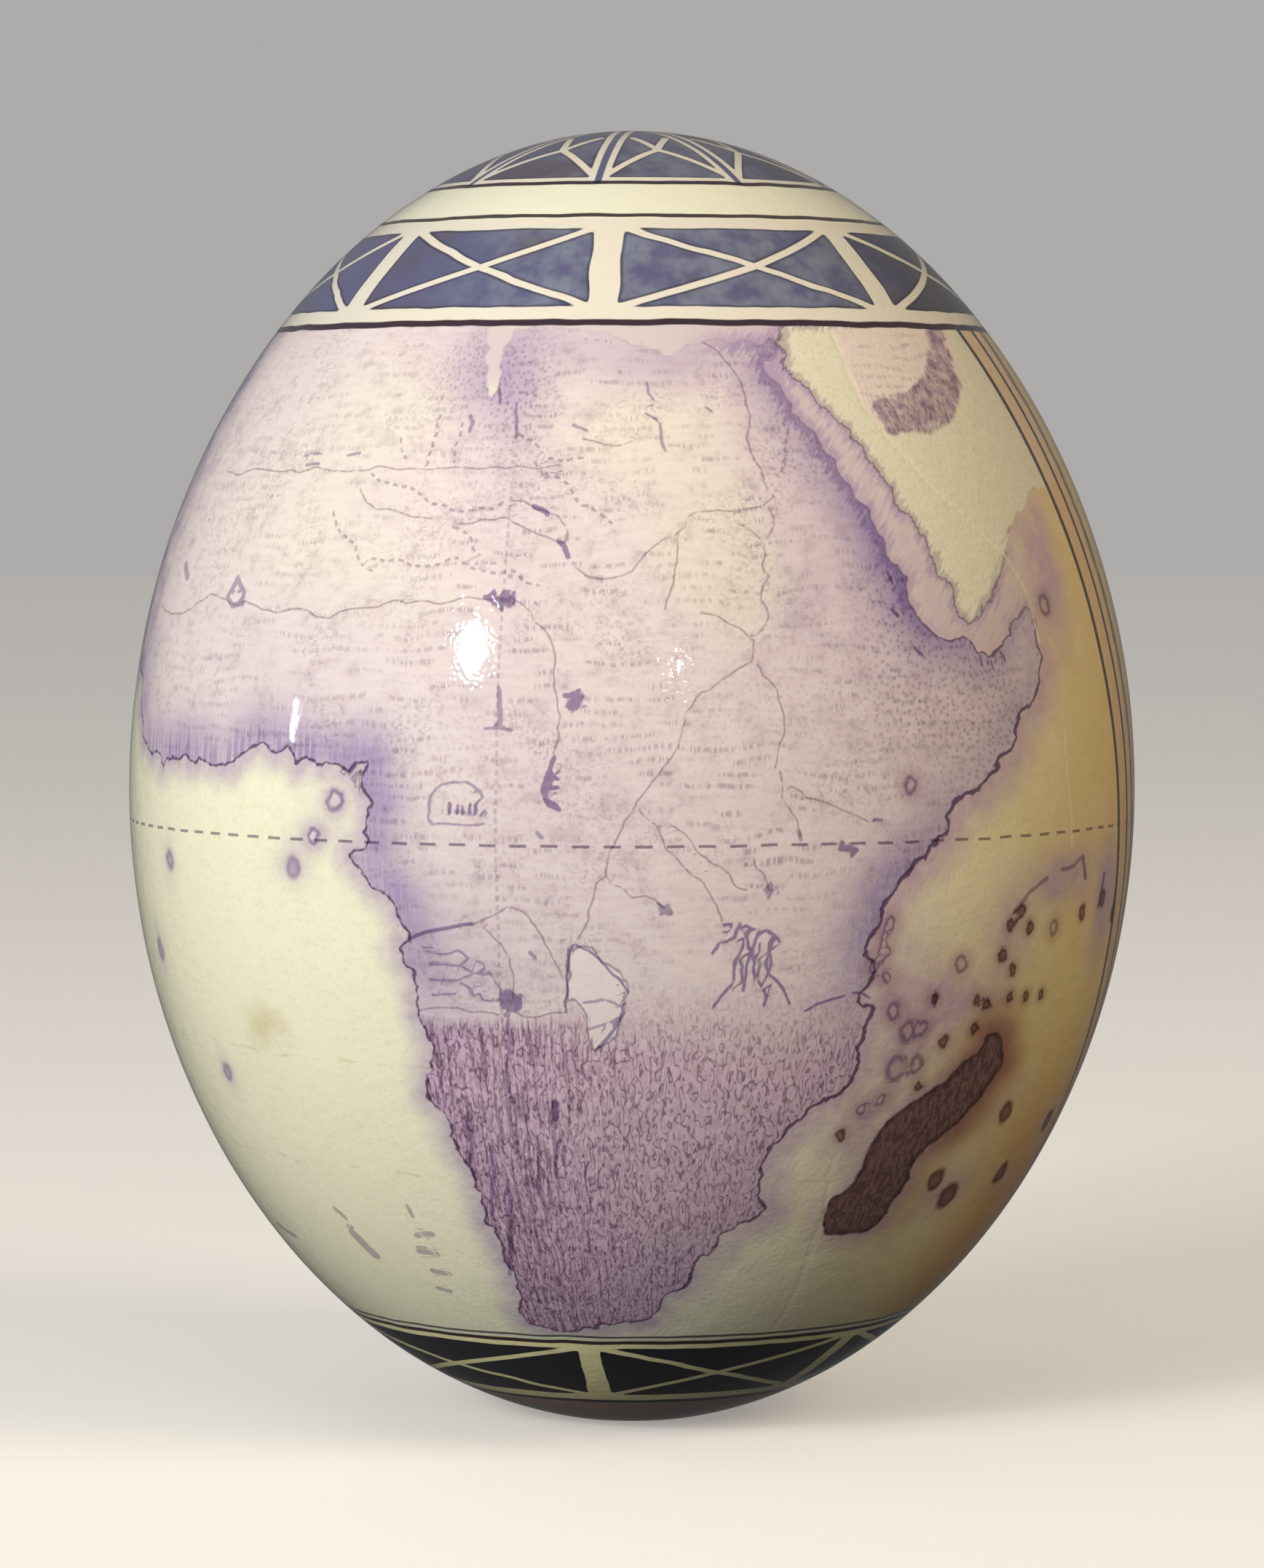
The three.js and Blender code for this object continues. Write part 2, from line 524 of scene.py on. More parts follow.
# %% Lines inside the continent
RIVERS = [
    [(15, 14.5), (11, 12), (8, 10.5), (6.5, 8), (6, 4.5), (3.5, 0.5), (0.5, -3.7), (-1.5, -7), (-3.3, -11.8), (-5, -15.5), (-7, -20.5)],
    [(13, 31.5), (16, 29.5), (16, 26), (17, 25), (16, 22), (17, 20.5), (15, 17.5), (15, 14.5), (18, 11), (19, 7.5), (18.6, -0.8), (20.8, -7.3)],
    [(14.5, 17.5), (12, 19), (8.5, 20.5)],
    [(18.6, -0.8), (22.6, -2.7), (26.3, -4.1), (28.5, -5), (30.5, -5.2)],
    [(0.4, -3.7), (4.3, -9), (6.4, -11), (8.7, -12.7), (10.6, -16), (11.3, -18)],
    [(4.3, -5.7), (6.7, -7), (8, -9), (12, -12), (14.3, -14)],
    [(-3.3, -12), (-1, -13.7), (1.6, -14.7), (4, -16.3)],
    [(-15.2, 22.5), (-12.1, 19.4), (-10.2, 17.5), (-9.5, 13.7), (-9.3, 10), (-9.1, 4.9), (-9.8, 2.5)],
    [(15, -10), (16.3, -12), (17, -14)],
    [(-19.6, -18.2), (-15.3, -15.9), (-13.3, -16.7), (-11.3, -19.4), (-9.6, -22.7), (-8.3, -25.1)],
    [(-19.6, -18.2), (-17.3, -19.7), (-15.3, -22.1), (-14.6, -24.7), (-14.8, -28)],
    [(-58, 21.5), (-49.5, 21.5), (-43, 20.7), (-40.5, 20.9), (-37.5, 19.7), (-35, 20.8), (-31.5, 21), (-29, 22), (-24, 21.5), (-17, 22)],
    [(8.5, 54), (11.5, 51.5), (13.5, 48.5), (14.5, 45), (14, 42), (16, 38), (17.5, 35), (14, 33.2), (9.5, 33), (5.5, 30), (2.5, 28.5), (0, 25.5), (-3.5, 24.5), (-7, 26)],
    [(5.5, 30), (5, 23.5), (4, 20.5)],
    [(16.8, 33.5), (17.8, 31.5), (16.9, 29.8), (16, 29.5)],
    [(-5.2, -47.6), (-5.8, -50.6), (-5.2, -54)],
    [(-50, 38.1), (-46, 38.2), (-42, 38), (-38, 38.2), (-34, 38), (-29, 38.1), (-24, 38.3), (-20, 38.2), (-14, 38.6), (-9, 38.6)],
    [(-26.5, -29), (-20, -29.2), (-15, -28.8), (-8.3, -29.1)],
    [(-14.9, 34.2), (-12.1, 33.5), (-9, 32.3), (-8, 30.7), (-8.2, 28.8)],
    [(-14.6, 31.6), (-11.5, 30.1), (-9, 29.1)],
    [(-21.6, 31.4), (-18.4, 32), (-15.9, 32.3), (-14.6, 31.6)],
    [(-33.5, 35.7), (-31.6, 33.2), (-29.7, 33.2), (-27.2, 32.3), (-24.7, 32)],
    [(-6.3, 42), (-3, 41), (0, 41.6)],
]
RIDGES = [
    [(-32.2, 37.6), (-29.7, 36.4), (-27.8, 36), (-25.9, 34.8), (-23.4, 33.8), (-20.3, 32.9), (-17.1, 33.2), (-14.9, 34.3)],
    [(-32.2, 27.2), (-28.4, 26.9), (-23.4, 26.6), (-18.4, 25.7), (-14.6, 25.7), (-11.5, 23.8)],
    [(-36.9, 32.9), (-34.1, 28.8), (-32.2, 25.7)],
    [(-12, 39), (-11, 37), (-7.5, 35.5), (-4.5, 33), (-2.5, 31.5)],
    [(-14, 42.5), (-12, 41.5), (-10.5, 39.5), (-6, 39.5)],
    [(-23.5, 45), (-24, 42.5), (-25, 40.5), (-25.5, 38.5)],
    [(-20.8, 44), (-21.8, 41), (-22, 38.8)],
    [(-28.5, 42), (-28, 39.5)],
    [(-22, 31), (-19.5, 28), (-18, 27)],
    [(18.5, 44), (19, 40), (18, 37)],
]
FINE_STROKES = [
    (0.5, [(55.9, -9.8), (54.7, -11), (53.2, -11.4)]), (0.5, [(51.6, -12.4), (50, -13.6), (48.6, -15.2), (47.4, -16.6)]),
    (0.65, [(-48.7, 24.9), (-50.0, 22.4), (-49.3, 21.2), (-48.0, 21.5), (-48.0, 23.2), (-48.7, 24.9)]),
    (0.4, [(-40.4, 39.8), (-38.4, 40)]), (0.35, [(-40.2, 38.6), (-38.6, 38.8)]),
    (0.4, [(-35, 39.9), (-33.6, 40.1)]),
    (0.35, [(-18.4, 6.1), (-14.8, 5.9)]), (0.55, [(-16.4, 11.2), (-16.3, 7)]),
    (0.45, [(-20, 44.9), (-20, 42.8)]), (0.35, [(-16.4, 48.3), (-16.4, 46.4)]), (0.35, [(-14.3, 46.4), (-14.3, 42)]),
    (0.4, [(3.4, 42.2), (4.1, 40.4)]), (0.3, [(1.8, 48.8), (2.6, 46.6)]), (0.4, [(-7.2, 43.6), (-5.6, 42.9)]),
    (0.3, [(1.7, 45), (3.4, 44), (3.6, 42.4)]), (0.3, [(9.2, 45.7), (9.8, 45.2)]),
    (0.3, [(-25.2, -5.6), (-25.2, -2.6), (-23.9, -0.9), (-20.3, -0.5), (-18.7, -1.7), (-17.9, -4.7)]),
    (0.25, [(-25, -5.8), (-18.3, -5.7)]), (0.4, [(16.3, -13.8), (17.9, -14.3)]),
    (0.5, [(-11.9, -6.8), (-11.2, -7.4)]), (0.4, [(3.2, -15.6), (4.8, -16.9)]), (0.4, [(4.8, -15.5), (3.6, -17.1)]),
    (0.4, [(17.2, -13.2), (16.9, -14.9)]), (0.5, [(20.5, -6.6), (21, -7.7)]), (0.4, [(29.9, -5.2), (30.9, -5.3)]),
    (0.25, [(-25.6, -21.6), (-21.5, -21.3), (-18.5, -23), (-16.2, -26.4)]),
    (0.25, [(-25.2, -25.2), (-21.8, -25.2), (-18.8, -27)]),
    (0.35, [(-15.2, -29), (-15.1, -33), (-14.8, -40), (-14.4, -47)]), (0.25, [(-25.4, -23.4), (-21.5, -23.2), (-17.5, -24.8)]), (0.25, [(-24.8, -27), (-20.5, -26.8), (-17, -27.8)]),
    (0.4, [(-11.8, -44.5), (-11.6, -52)]), (0.5, [(-17.5, -46), (-17.2, -55)]),
    (0.4, [(-20.5, -42), (-19.5, -50)]), (0.4, [(-9, -45), (-9.2, -50)]), (0.5, [(-15.4, -50), (-15.2, -62)]),
    (0.5, [(37.6, -26.6), (37.5, -28.6)]), (0.4, [(44, -27.3), (44.6, -28.5)]), (0.4, [(-12.6, -21.6), (-12, -22.4)]),
    (0.4, [(44.4, 14.6), (44.7, 13.4)]), (0.4, [(45.5, 15.6), (46.2, 14.4)]), (0.4, [(43, 15.2), (43.2, 14)]),
    (0.3, [(-6, -27.9), (-3.6, -27.6), (-1.2, -28.6)]), (0.3, [(-5.4, -31.3), (-1.9, -30)]),
]
DARK_STROKES = [
    (0.6, [(-12.1, 33.6), (-11.1, 33.2), (-10.4, 32.6)]), (0.6, [(-9, 29.2), (-8.3, 28.6), (-7.9, 27.3)]),
    (0.6, [(-18.1, 22.4), (-16.4, 21.9), (-14.7, 21.9)]), (0.5, [(-17.1, 23.3), (-16.2, 20.8)]),
    (0.6, [(-15.4, 23.1), (-16.9, 21.1)]), (0.5, [(-14.6, 22.9), (-15.3, 21.2)]),
    (0.6, [(-8.2, 10.2), (-5.8, 9)]), (0.6, [(-7.4, 8.3), (-6.6, 10.9)]), (0.5, [(-8, 8.9), (-6, 10.3)]),
    (0.6, [(-9.6, 2.6), (-10.3, 0.4), (-11.1, -1.7), (-10.4, -3.3), (-9.1, -3.9)]),
    (1.0, [(-10.2, 0.6), (-10.7, -1.3)]), (0.7, [(-10.4, -2.9), (-9.4, -3.6)]), (0.5, [(-10.1, 0.2), (-9, 0.9)]),
    (0.5, [(-10.6, -1.4), (-9.2, -1.2)]),
    (0.45, [(-22.6, -3.2), (-22.6, -4.6)]), (0.45, [(-21, -3.6), (-21, -4.8)]),
    (0.45, [(-19.4, -3), (-19.4, -4.6)]),
    (0.6, [(26, -8.1), (27.2, -9.7)]), (0.5, [(27.6, -8.4), (26.3, -9.3)]), (0.45, [(25.6, -8.9), (27.9, -9)]),
    (0.4, [(11.4, -18.3), (13.4, -18.1), (15.4, -19), (17, -19), (18.4, -20.4)]),
    (0.35, [(13.2, -18.4), (12.6, -20.2), (10.6, -20.6), (10, -22)]),
    (0.35, [(14, -19.5), (13.6, -21.5), (12.6, -23), (12.6, -25.5), (11.4, -26.6), (9.8, -28.8)]),
    (0.35, [(15.6, -19.2), (15, -21.4), (16, -23), (15.4, -25), (16.6, -27), (16.4, -28.6)]),
    (0.35, [(14.8, -21), (14.3, -23.4), (13.8, -26.6)]), (0.35, [(16.9, -20.4), (17.3, -22.6), (17, -24.4), (18.8, -26.2), (19.6, -28)]),
    (0.3, [(21.3, -29.1), (24, -27.7), (26.3, -27.1)]), (0.3, [(27.2, -26.8), (28.3, -26.7), (29.6, -27.4)]),
    (0.4, [(-27.6, -20.1), (-25.2, -19.1), (-22.6, -18.6), (-19.6, -18.2)]),
    (0.9, [(-15.2, -26.8), (-15, -29)]), (0.6, [(-16.3, -27.3), (-14, -28.4)]), (0.5, [(-13.8, -27), (-16.2, -28.6)]),
    (0.3, [(-8, -21.1), (-8.1, -24.7), (-8.3, -29.1)]), (0.8, [(-9.6, -40.3), (-9.5, -42.3)]),
    (0.3, [(-7, -20.8), (-5.3, -21.6), (-3.3, -23.4), (-1.4, -25.1), (-0.5, -26.8)]),
    (0.35, [(-1, -29.4), (-2, -31.1), (-3.6, -33.1), (-4.6, -34.1)]),
    (0.6, [(55.9, -9.8), (56.2, -12.4)]), (0.8, [(58.5, -12), (57.8, -16)]), (0.8, [(60, -13.5), (59.4, -17.5)]),
    (0.5, [(32.2, 20.9), (32.9, 20)]), (0.5, [(31.5, 25.4), (32.2, 24.2)]), (0.45, [(35, 16), (35.9, 15.2)]),
]
FADED_STROKES = [
    (0.7, [(-37, -53.6), (-35.6, -54.8)]), (1.5, [(-34.6, -56.8), (-32, -59.4)]), (0.6, [(-28, -53.2), (-27.2, -54.6)]),
    (0.8, [(-26.8, -57), (-24.8, -56.9)]), (0.8, [(-26.4, -59), (-24.2, -59.3)]), (0.8, [(-24.8, -61.4), (-22.8, -61.8)]),
    (0.7, [(-24, -63.6), (-22.6, -64)]), (0.9, [(-44, -55.6), (-42, -57)]), (1.0, [(-55.1, 26.4), (-54.9, 24.9)]),
]
SEAMS = [
    [(24.6, 55), (26.8, 49.6), (29.6, 44.5), (31.5, 42.3), (34, 39.5), (42.5, 31), (49, 22), (50.5, 16.5)],
    [(25.5, -46.5), (24.5, -49.5), (23.5, -55.5), (22, -59.5), (17.5, -69)],
    [(-28.5, -54.5), (-25, -58.5), (-21, -65), (-19.5, -68)],
    [(53.5, 6), (54.5, -5), (54.5, -8.5)],
]


def loose(path, seed, amount=0.1):
    """A hand-drawn open line through the listed places."""
    return roughened(onto_egg(path), 2.0, amount, seed, closed=False)


store_lines("rivers", [loose(path, 20 + i, 0.09) for i, path in enumerate(RIVERS)], [0.18] * len(RIVERS))
store_lines("ridges", [loose(path, 60 + i) for i, path in enumerate(RIDGES)], [0.32] * len(RIDGES))
strokes = FINE_STROKES + DARK_STROKES + FADED_STROKES
stroke_paths = [loose(path, 100 + i, 0.05) for i, (_, path) in enumerate(strokes)]
inks = np.repeat([0.55, 0.7, 0.5], [len(FINE_STROKES), len(DARK_STROKES), len(FADED_STROKES)])
store("strokes_ink", inks[store_lines("strokes", stroke_paths, [width for width, _ in strokes])])
store_lines("seams", [loose(path, 80 + i, 0.04) for i, path in enumerate(SEAMS)], [0.35] * len(SEAMS))

# %% [markdown]
# ## Islands
# Small islands are rings or spots in the sea, with a soft halo. Each vertex stores the step to the nearest
# one, and that one's size, so the shader can draw a round spot or a ring of any size.

# %% Spots
RINGS = [
    (51, 21.5, 0.9), (32.5, -29, 0.75), (34.2, -31.5, 1.0), (35.9, -31.2, 0.7), (32.8, -36.2, 1.15),
    (35.2, -35.6, 0.85), (-36.8, -2.8, 0.9), (-39.4, -7.3, 0.7), (32, -18, 0.55), (31.3, -19.8, 0.5),
    (31.2, -21.6, 0.55), (30, -23.5, 0.55), (31.6, -24.8, 0.5), (34.5, -1, 0.75), (28.5, -41.3, 0.5),
    (31, -40, 0.5), (40.8, -23.1, 0.7), (52.3, -18.7, 0.7),
]
SPOTS = [
    (48.3, -16.6, 0.65), (46.9, -18.3, 0.6), (49.3, -18.7, 0.65), (45.9, -22.1, 0.6), (47.2, -23.8, 0.55),
    (55.8, -16.7, 0.7), (58.3, -15, 0.8), (59.6, -16.8, 0.8), (42.4, -31.3, 0.55), (46.9, -27.2, 0.5),
    (48.9, -27.2, 0.55), (50.8, -26.9, 0.5), (38.7, -32.8, 0.65), (46.4, -41.6, 1.1), (51.6, -42.6, 1.1),
    (45.8, -49.2, 1.1), (37.7, -50.1, 1.1), (39.2, -52, 1.4), (-42, -11.1, 0.9), (-57.2, -10.2, 0.9),
    (-58.4, -21.3, 1.0), (-50.2, -36.6, 0.85), (26, -44.5, 0.6), (35.5, -38.3, 0.45), (42.8, -27.5, 0.5),
    (44, -28.1, 0.45), (37.5, -27.5, 0.5),
]


def store_spots(name, spots):
    """Stores the step to the nearest spot's centre with that spot's size, and the guard."""
    best = np.full(len(vertex_run), 1e9)
    chosen = np.zeros((len(vertex_run), 3))
    for (azimuth, run), (_, _, size) in zip(onto_egg([spot[:2] for spot in spots]), spots):
        x = ((azimuth - vertex_azimuth + 180) % 360 - 180) * np.radians(1) * vertex_radius
        y = run - vertex_run
        away = np.hypot(x, y)
        near = away < best
        best[near] = away[near]
        chosen[near] = np.stack([x, y, np.full(len(x), size)], 1)[near]
    store(name, chosen)
    store(name + "_away", best)
    print(name, "has", len(spots))


store_spots("rings", RINGS)
store_spots("spots", SPOTS)

# %% [markdown]
# ## Where the printed tints are strong
# The purple wash isn't even. It is deep along some coasts and nearly gone inland, where cream paper
# shows. A few soft patches, each with a centre, a reach each way and a strength, say where.

# %% Soft patches of tint
VIOLET_PATCHES = [
    (-56, 8, 8, 9, 0.9), (-47, 8, 9, 4, 0.7), (-37, 5, 6, 5, 0.8), (-31, -4, 4, 9, 0.8),
    (-26, -15, 5, 8, 0.8), (31, -9, 9, 7, 0.85), (27, -20, 9, 8, 0.65), (47, 10, 7, 8, 0.5),
    (36, 22, 9, 7, 1.0), (28, 32, 6, 7, 0.8), (19, 45, 6, 7, 0.4), (-14, 50, 6, 6, 0.35), (3, 50, 14, 4, 0.35),
    (-24, 50, 6, 5, 0.2), (-60, 30, 6, 14, 0.7), (-52, 45, 5, 8, 0.6),
]
CLOUD_PATCHES = [
    (-14.5, 48, 2.6, 7, 0.6), (-13, 38, 4, 6, 0.35), (-22, 50, 5, 3, 0.3), (24, 27, 8, 9, 0.5), (30, 14, 12, 8, 0.4),
    (-16, 14, 5, 14, 0.2), (-8, -3, 9, 5, 0.2), (-14, -14, 10, 6, 0.2), (5, -14, 10, 6, 0.1),
    (18, -20, 9, 6, 0.15), (26, -16, 8, 8, 0.1), (-22, -24, 6, 5, 0.3), (-15, -25, 9, 4, 0.4), (0, 8, 10, 8, 0.1),
    (-45, 15, 12, 6, 0.2), (18, 47, 4, 7, 0.6), (3, 51, 12, 2.5, 0.3), (40, 5, 8, 8, 0.3), (19, 0, 12, 8, 0.2),
]
CREAM_PATCHES = [
    (-30, 46, 8, 6, 0.7), (-38, 32, 9, 9, 0.5), (-24, 22, 8, 5, 0.4), (2, 42, 9, 5, 0.9), (9, 28, 5, 5, 0.9),
    (-38, 27, 8, 5, 0.3), (10, 6, 7, 7, 0.4), (-48, 30, 6, 8, 0.4), (14, 23, 4, 6, 0.6),
]
SEA_STAINS = [
    (33.5, -20, 3, 7, 0.4), (34, -32, 4.5, 5, 0.55), (30, -41, 4, 4, 0.45), (40, -27.5, 7, 2.2, 0.6),
    (47, -19, 3, 4, 0.8), (52.5, -13, 4, 2, 0.8), (58.5, -15, 2.5, 5, 0.9), (45, -40, 4, 4, 0.4),
    (36, -29, 7, 6, 0.5), (39, -51.5, 3.5, 2.5, 0.9), (51.5, -42.6, 2, 2, 0.8), (46, -49.5, 2, 2, 0.6), (27, -45, 3, 4, 0.6),
    (51, 22, 3.5, 4.5, 0.9), (49.5, 33, 2.5, 9, 0.8), (49, 27, 2.5, 5, 0.6), (25, -52, 5, 4, 0.35),
    (55, -11.5, 4.5, 2.5, 0.8), (59, -14.5, 3, 3.5, 0.9), (-36.8, -2.8, 2.5, 2.5, 0.6), (-39.5, -7.3, 3, 1.5, 0.5),
    (-42, -11, 2, 1.8, 0.7), (-57.2, -10.2, 1.6, 2, 0.5), (-58.4, -21.3, 1.6, 2.2, 0.5), (-50.2, -36.6, 1.5, 1.8, 0.5),
]
STIPPLE_PATCHES = [
    (40, 10, 9, 7, 1.0), (46, 3, 5, 5, 0.8), (-14.5, 47, 3.5, 8, 1.0), (20, 44, 5, 8, 0.6), (34, 19, 4, 5, 0.8),
    (-22, 50, 7, 3, 0.5), (14, 8, 14, 9, 0.35), (-20, 0, 8, 6, 0.4),
]


def patched(patches):
    """Adds up soft patches over the surface."""
    total = np.zeros(len(vertex_run))
    for (azimuth, run), (_, _, reach, rise, strength) in zip(onto_egg([p[:2] for p in patches]), patches):
        x = ((azimuth - vertex_azimuth + 180) % 360 - 180) * np.radians(1) * vertex_radius / reach
        y = (run - vertex_run) / rise
        total += strength * np.exp(-(x * x + y * y) / 2)
    return total


tints = np.stack([patched(patches) for patches in (VIOLET_PATCHES, CLOUD_PATCHES, CREAM_PATCHES)], 1)
store("tints", tints)
store("sea_stain", patched(SEA_STAINS))
store("stippled", patched(STIPPLE_PATCHES))
store("run", vertex_run)
print("strongest tints", tints.max(0).round(2))

# %% [markdown]
# ## A map round the bands
# The bands' panels don't all have the same width, because they were cut by hand. A UV map counts them:
# its whole numbers are at the posts and its halves at the crossings. It is stored on the faces'
# corners, so the last panel can end where the first begins.

# %% Panel numbers in a UV map
CAP_STRIPES = [-51.1, -9.3, 30.6]
CAP_SECTORS = 9
UPPER_POSTS = [-92, -70.8, -52.3, -27.9, -4.8, 22.5, 45.6, 68.8, 92]
UPPER_PANELS = 8
LOWER_POSTS = [-82, -45.4, -8.3, 20.1, 50]
LOWER_PANELS = 6


def counted(first, places, panels, step):
    """Azimuths and panel numbers all the way round, where the listed places are step apart."""
    numbers = [first + step * i for i in range(len(places))]
    places = places + [places[0] + 360]
    numbers = numbers + [first + panels]
    return np.array(places, float), np.array(numbers, float)


rounds = {
    "cap": counted(0, CAP_STRIPES, CAP_SECTORS, 1.0),
    "upper": counted(0, UPPER_POSTS, UPPER_PANELS, 0.5),
    "lower": counted(0, LOWER_POSTS, LOWER_PANELS, 0.5),
}
loop_vertex = np.empty(len(mesh.loops), int)
mesh.loops.foreach_get("vertex_index", loop_vertex)
face_sizes = np.empty(len(mesh.polygons), int)
mesh.polygons.foreach_get("loop_total", face_sizes)
loop_face = np.repeat(np.arange(len(face_sizes)), face_sizes)


def face_mean(values):
    return np.bincount(loop_face, values[loop_vertex]) / face_sizes


face_x = face_mean(corners[:, 0])
face_y = face_mean(corners[:, 1])
face_azimuth = np.degrees(np.arctan2(face_x, -face_y))[loop_face]
loop_azimuth = vertex_azimuth[loop_vertex]
loop_azimuth = face_azimuth + (loop_azimuth - face_azimuth + 180) % 360 - 180
on_pole = vertex_radius[loop_vertex] <= 1.01
loop_azimuth[on_pole] = face_azimuth[on_pole]
loop_height = face_mean(vertex_height)[loop_face]
panel = np.zeros(len(mesh.loops))
for band, chosen in (("cap", loop_height > 70), ("upper", abs(loop_height - 35) <= 35), ("lower", loop_height < 0)):
    places, numbers = rounds[band]
    turns = np.floor((face_azimuth - places[0]) / 360)
    panel[chosen] = np.interp(loop_azimuth - 360 * turns, places, numbers)[chosen]
    print(band, "has", numbers[-1], "panels")
panels = mesh.uv_layers.new(name="panels")
panels.uv.foreach_set("vector", np.stack([panel, vertex_run[loop_vertex]], 1).ravel())

# %% [markdown]
# ## The print as a material
# Ink on paper darkens what is below it, so most marks are multiplied onto the paper's colour. The tree
# starts from coordinates in millimetres: round the egg, up its surface, and through space for the grain.

# %% Coordinates and small helpers for the print
m = Graph(print_material.node_tree)
print_material.node_tree.nodes.clear()


def srgb(red, green, blue):
    """A colour as a screen shows it, from 0 to 255, turned into the linear colour that shaders use."""
    shown = [channel / 255 for channel in (red, green, blue)]
    linear = [c / 12.92 if c <= 0.04045 else ((c + 0.055) / 1.055) ** 2.4 for c in shown]
    return (*linear, 1.0)


def laid(base, paint, mask):
    """Paint that covers the base where the mask is 1."""
    return m.node("ShaderNodeMix", {"data_type": "RGBA"}, {0: mask, 6: base, 7: paint}, out=2)


def stained(base, ink, mask):
    """Clear ink that darkens the base where the mask is 1."""
    settings = {"data_type": "RGBA", "blend_type": "MULTIPLY"}
    return m.node("ShaderNodeMix", settings, {0: mask, 6: base, 7: ink}, out=2)


@functools.cache
def stored(name, part=None):
    """An attribute of the mesh: the number itself, or part 0, 1 or 2 of a triple."""
    if part is None:
        return m.node("ShaderNodeAttribute", {"attribute_name": name}, out=2)
    triple = m.node("ShaderNodeAttribute", {"attribute_name": name}, out=1)
    return m.node("ShaderNodeSeparateXYZ", sockets={0: triple}, out=part)


def placed_at(x, y, z=0.0):
    return m.node("ShaderNodeCombineXYZ", sockets={"X": x, "Y": y, "Z": z})


def grain(where, size, detail=2.0, roughness=0.5):
    """Noise from 0 to 1 whose blobs are about size millimetres wide."""
    sockets = {"Vector": where, "Scale": 1 / size, "Detail": detail, "Roughness": roughness}
    return m.node("ShaderNodeTexNoise", sockets=sockets)


def inside(value, low, high, soft=0.07):
    """1 between low and high, with soft edges."""
    middle, half = (low + high) / 2, (high - low) / 2
    return abs(value - middle).ramp(half + soft, half - soft)


def weave(across, upward, detail=2.0, roughness=0.5):
    """Flat noise from 0 to 1 in blobs one unit wide, so stretched coordinates give strokes."""
    sockets = {"Vector": placed_at(across, upward), "Scale": 1.0, "Detail": detail, "Roughness": roughness}
    return m.node("ShaderNodeTexNoise", {"noise_dimensions": "2D"}, sockets)


def contours(noise, count, share):
    """Thin loose loops where a noise passes evenly spaced values."""
    part = (noise * count).math("FRACT")
    return inside(part, 0.5 - share, 0.5 + share, share * 0.7)


object_place = m.node("ShaderNodeTexCoord", out=3)
spot = m.node("ShaderNodeVectorMath", {"operation": "SCALE"}, {0: object_place, "Scale": 1 / MM})
spot_x = m.node("ShaderNodeSeparateXYZ", sockets={0: spot}, out=0)
spot_y = m.node("ShaderNodeSeparateXYZ", sockets={0: spot}, out=1)
azimuth = spot_x.math("ARCTAN2", -spot_y)
degrees = azimuth * math.degrees(1)
ring_radius = (spot_x * spot_x + spot_y * spot_y).math("SQRT")
around = azimuth * HALF_WIDTH
run = stored("run")
drift, coarse, tremble, tide = [stored(name) for name in SLOW_NOISES]
waver = grain(spot, 1.3, 1.0) - 0.5
speck = grain(spot, 0.45, 0.0)
streak = weave(around * 2.6, run * 0.35, 1.0) - 0.5
tooth = weave((around - run) * 1.3, (around + run) * 0.25, 1.0) - 0.5
smear = weave(around * 0.3, run * 1.4, 2.0) - 0.5
print("coordinates ready")

# %% [markdown]
# ## Paper and washes
# The sea is pale cream-green on the left and warmer on the right, and the land a little pink. Along the
# coasts a purple wash fades inland, and a thinner one fades out to sea. At the back, all tints return to
# what they are on the left, so that the two edges of the paper meet.

# %% Paper and coastal washes
SEA = srgb(238, 235, 204)
SEA_WARM = srgb(232, 212, 162)
SEA_OLIVE = srgb(228, 198, 124)
STAIN = srgb(214, 190, 150)
PAPER_GRAIN = srgb(226, 220, 196)
LAND = srgb(228, 213, 208)
CREAM = srgb(230, 219, 203)
VIOLET = srgb(194, 186, 226)
LILAC = srgb(222, 215, 234)
STRAIT = srgb(204, 186, 192)
WEST_STAIN = srgb(202, 182, 232)
EAST_STAIN = srgb(192, 164, 180)
ISLE_HALO_AND_PAINTED_SHADE = srgb(200, 164, 144)
NORTH_SEA = srgb(209, 195, 193)
EAST_PAINTED_SHADE = srgb(238, 208, 178)
INLAND_SHADE = srgb(226, 213, 212)
STAIN_PLACE = onto_egg([(-45.7, -31)])[0]

violet = stored("tints", 0)
cloud = stored("tints", 1)
cream = stored("tints", 2)
land_edge = stored("land") + waver * 0.7
land = land_edge.ramp(-0.12, 0.12)
isle_edge = stored("isle") + waver * 0.5
isle = isle_edge.ramp(-0.15, 0.15)
neighbour_edge = stored("neighbour") + waver * 0.8 + tooth * 0.9
neighbour = neighbour_edge.ramp(-0.12, 0.12)
eastward = degrees.ramp(5, 20)
strait = inside(degrees, 12, 52, 6) * inside(run, 17, 62, 4) * (1 - land) * (1 - neighbour)

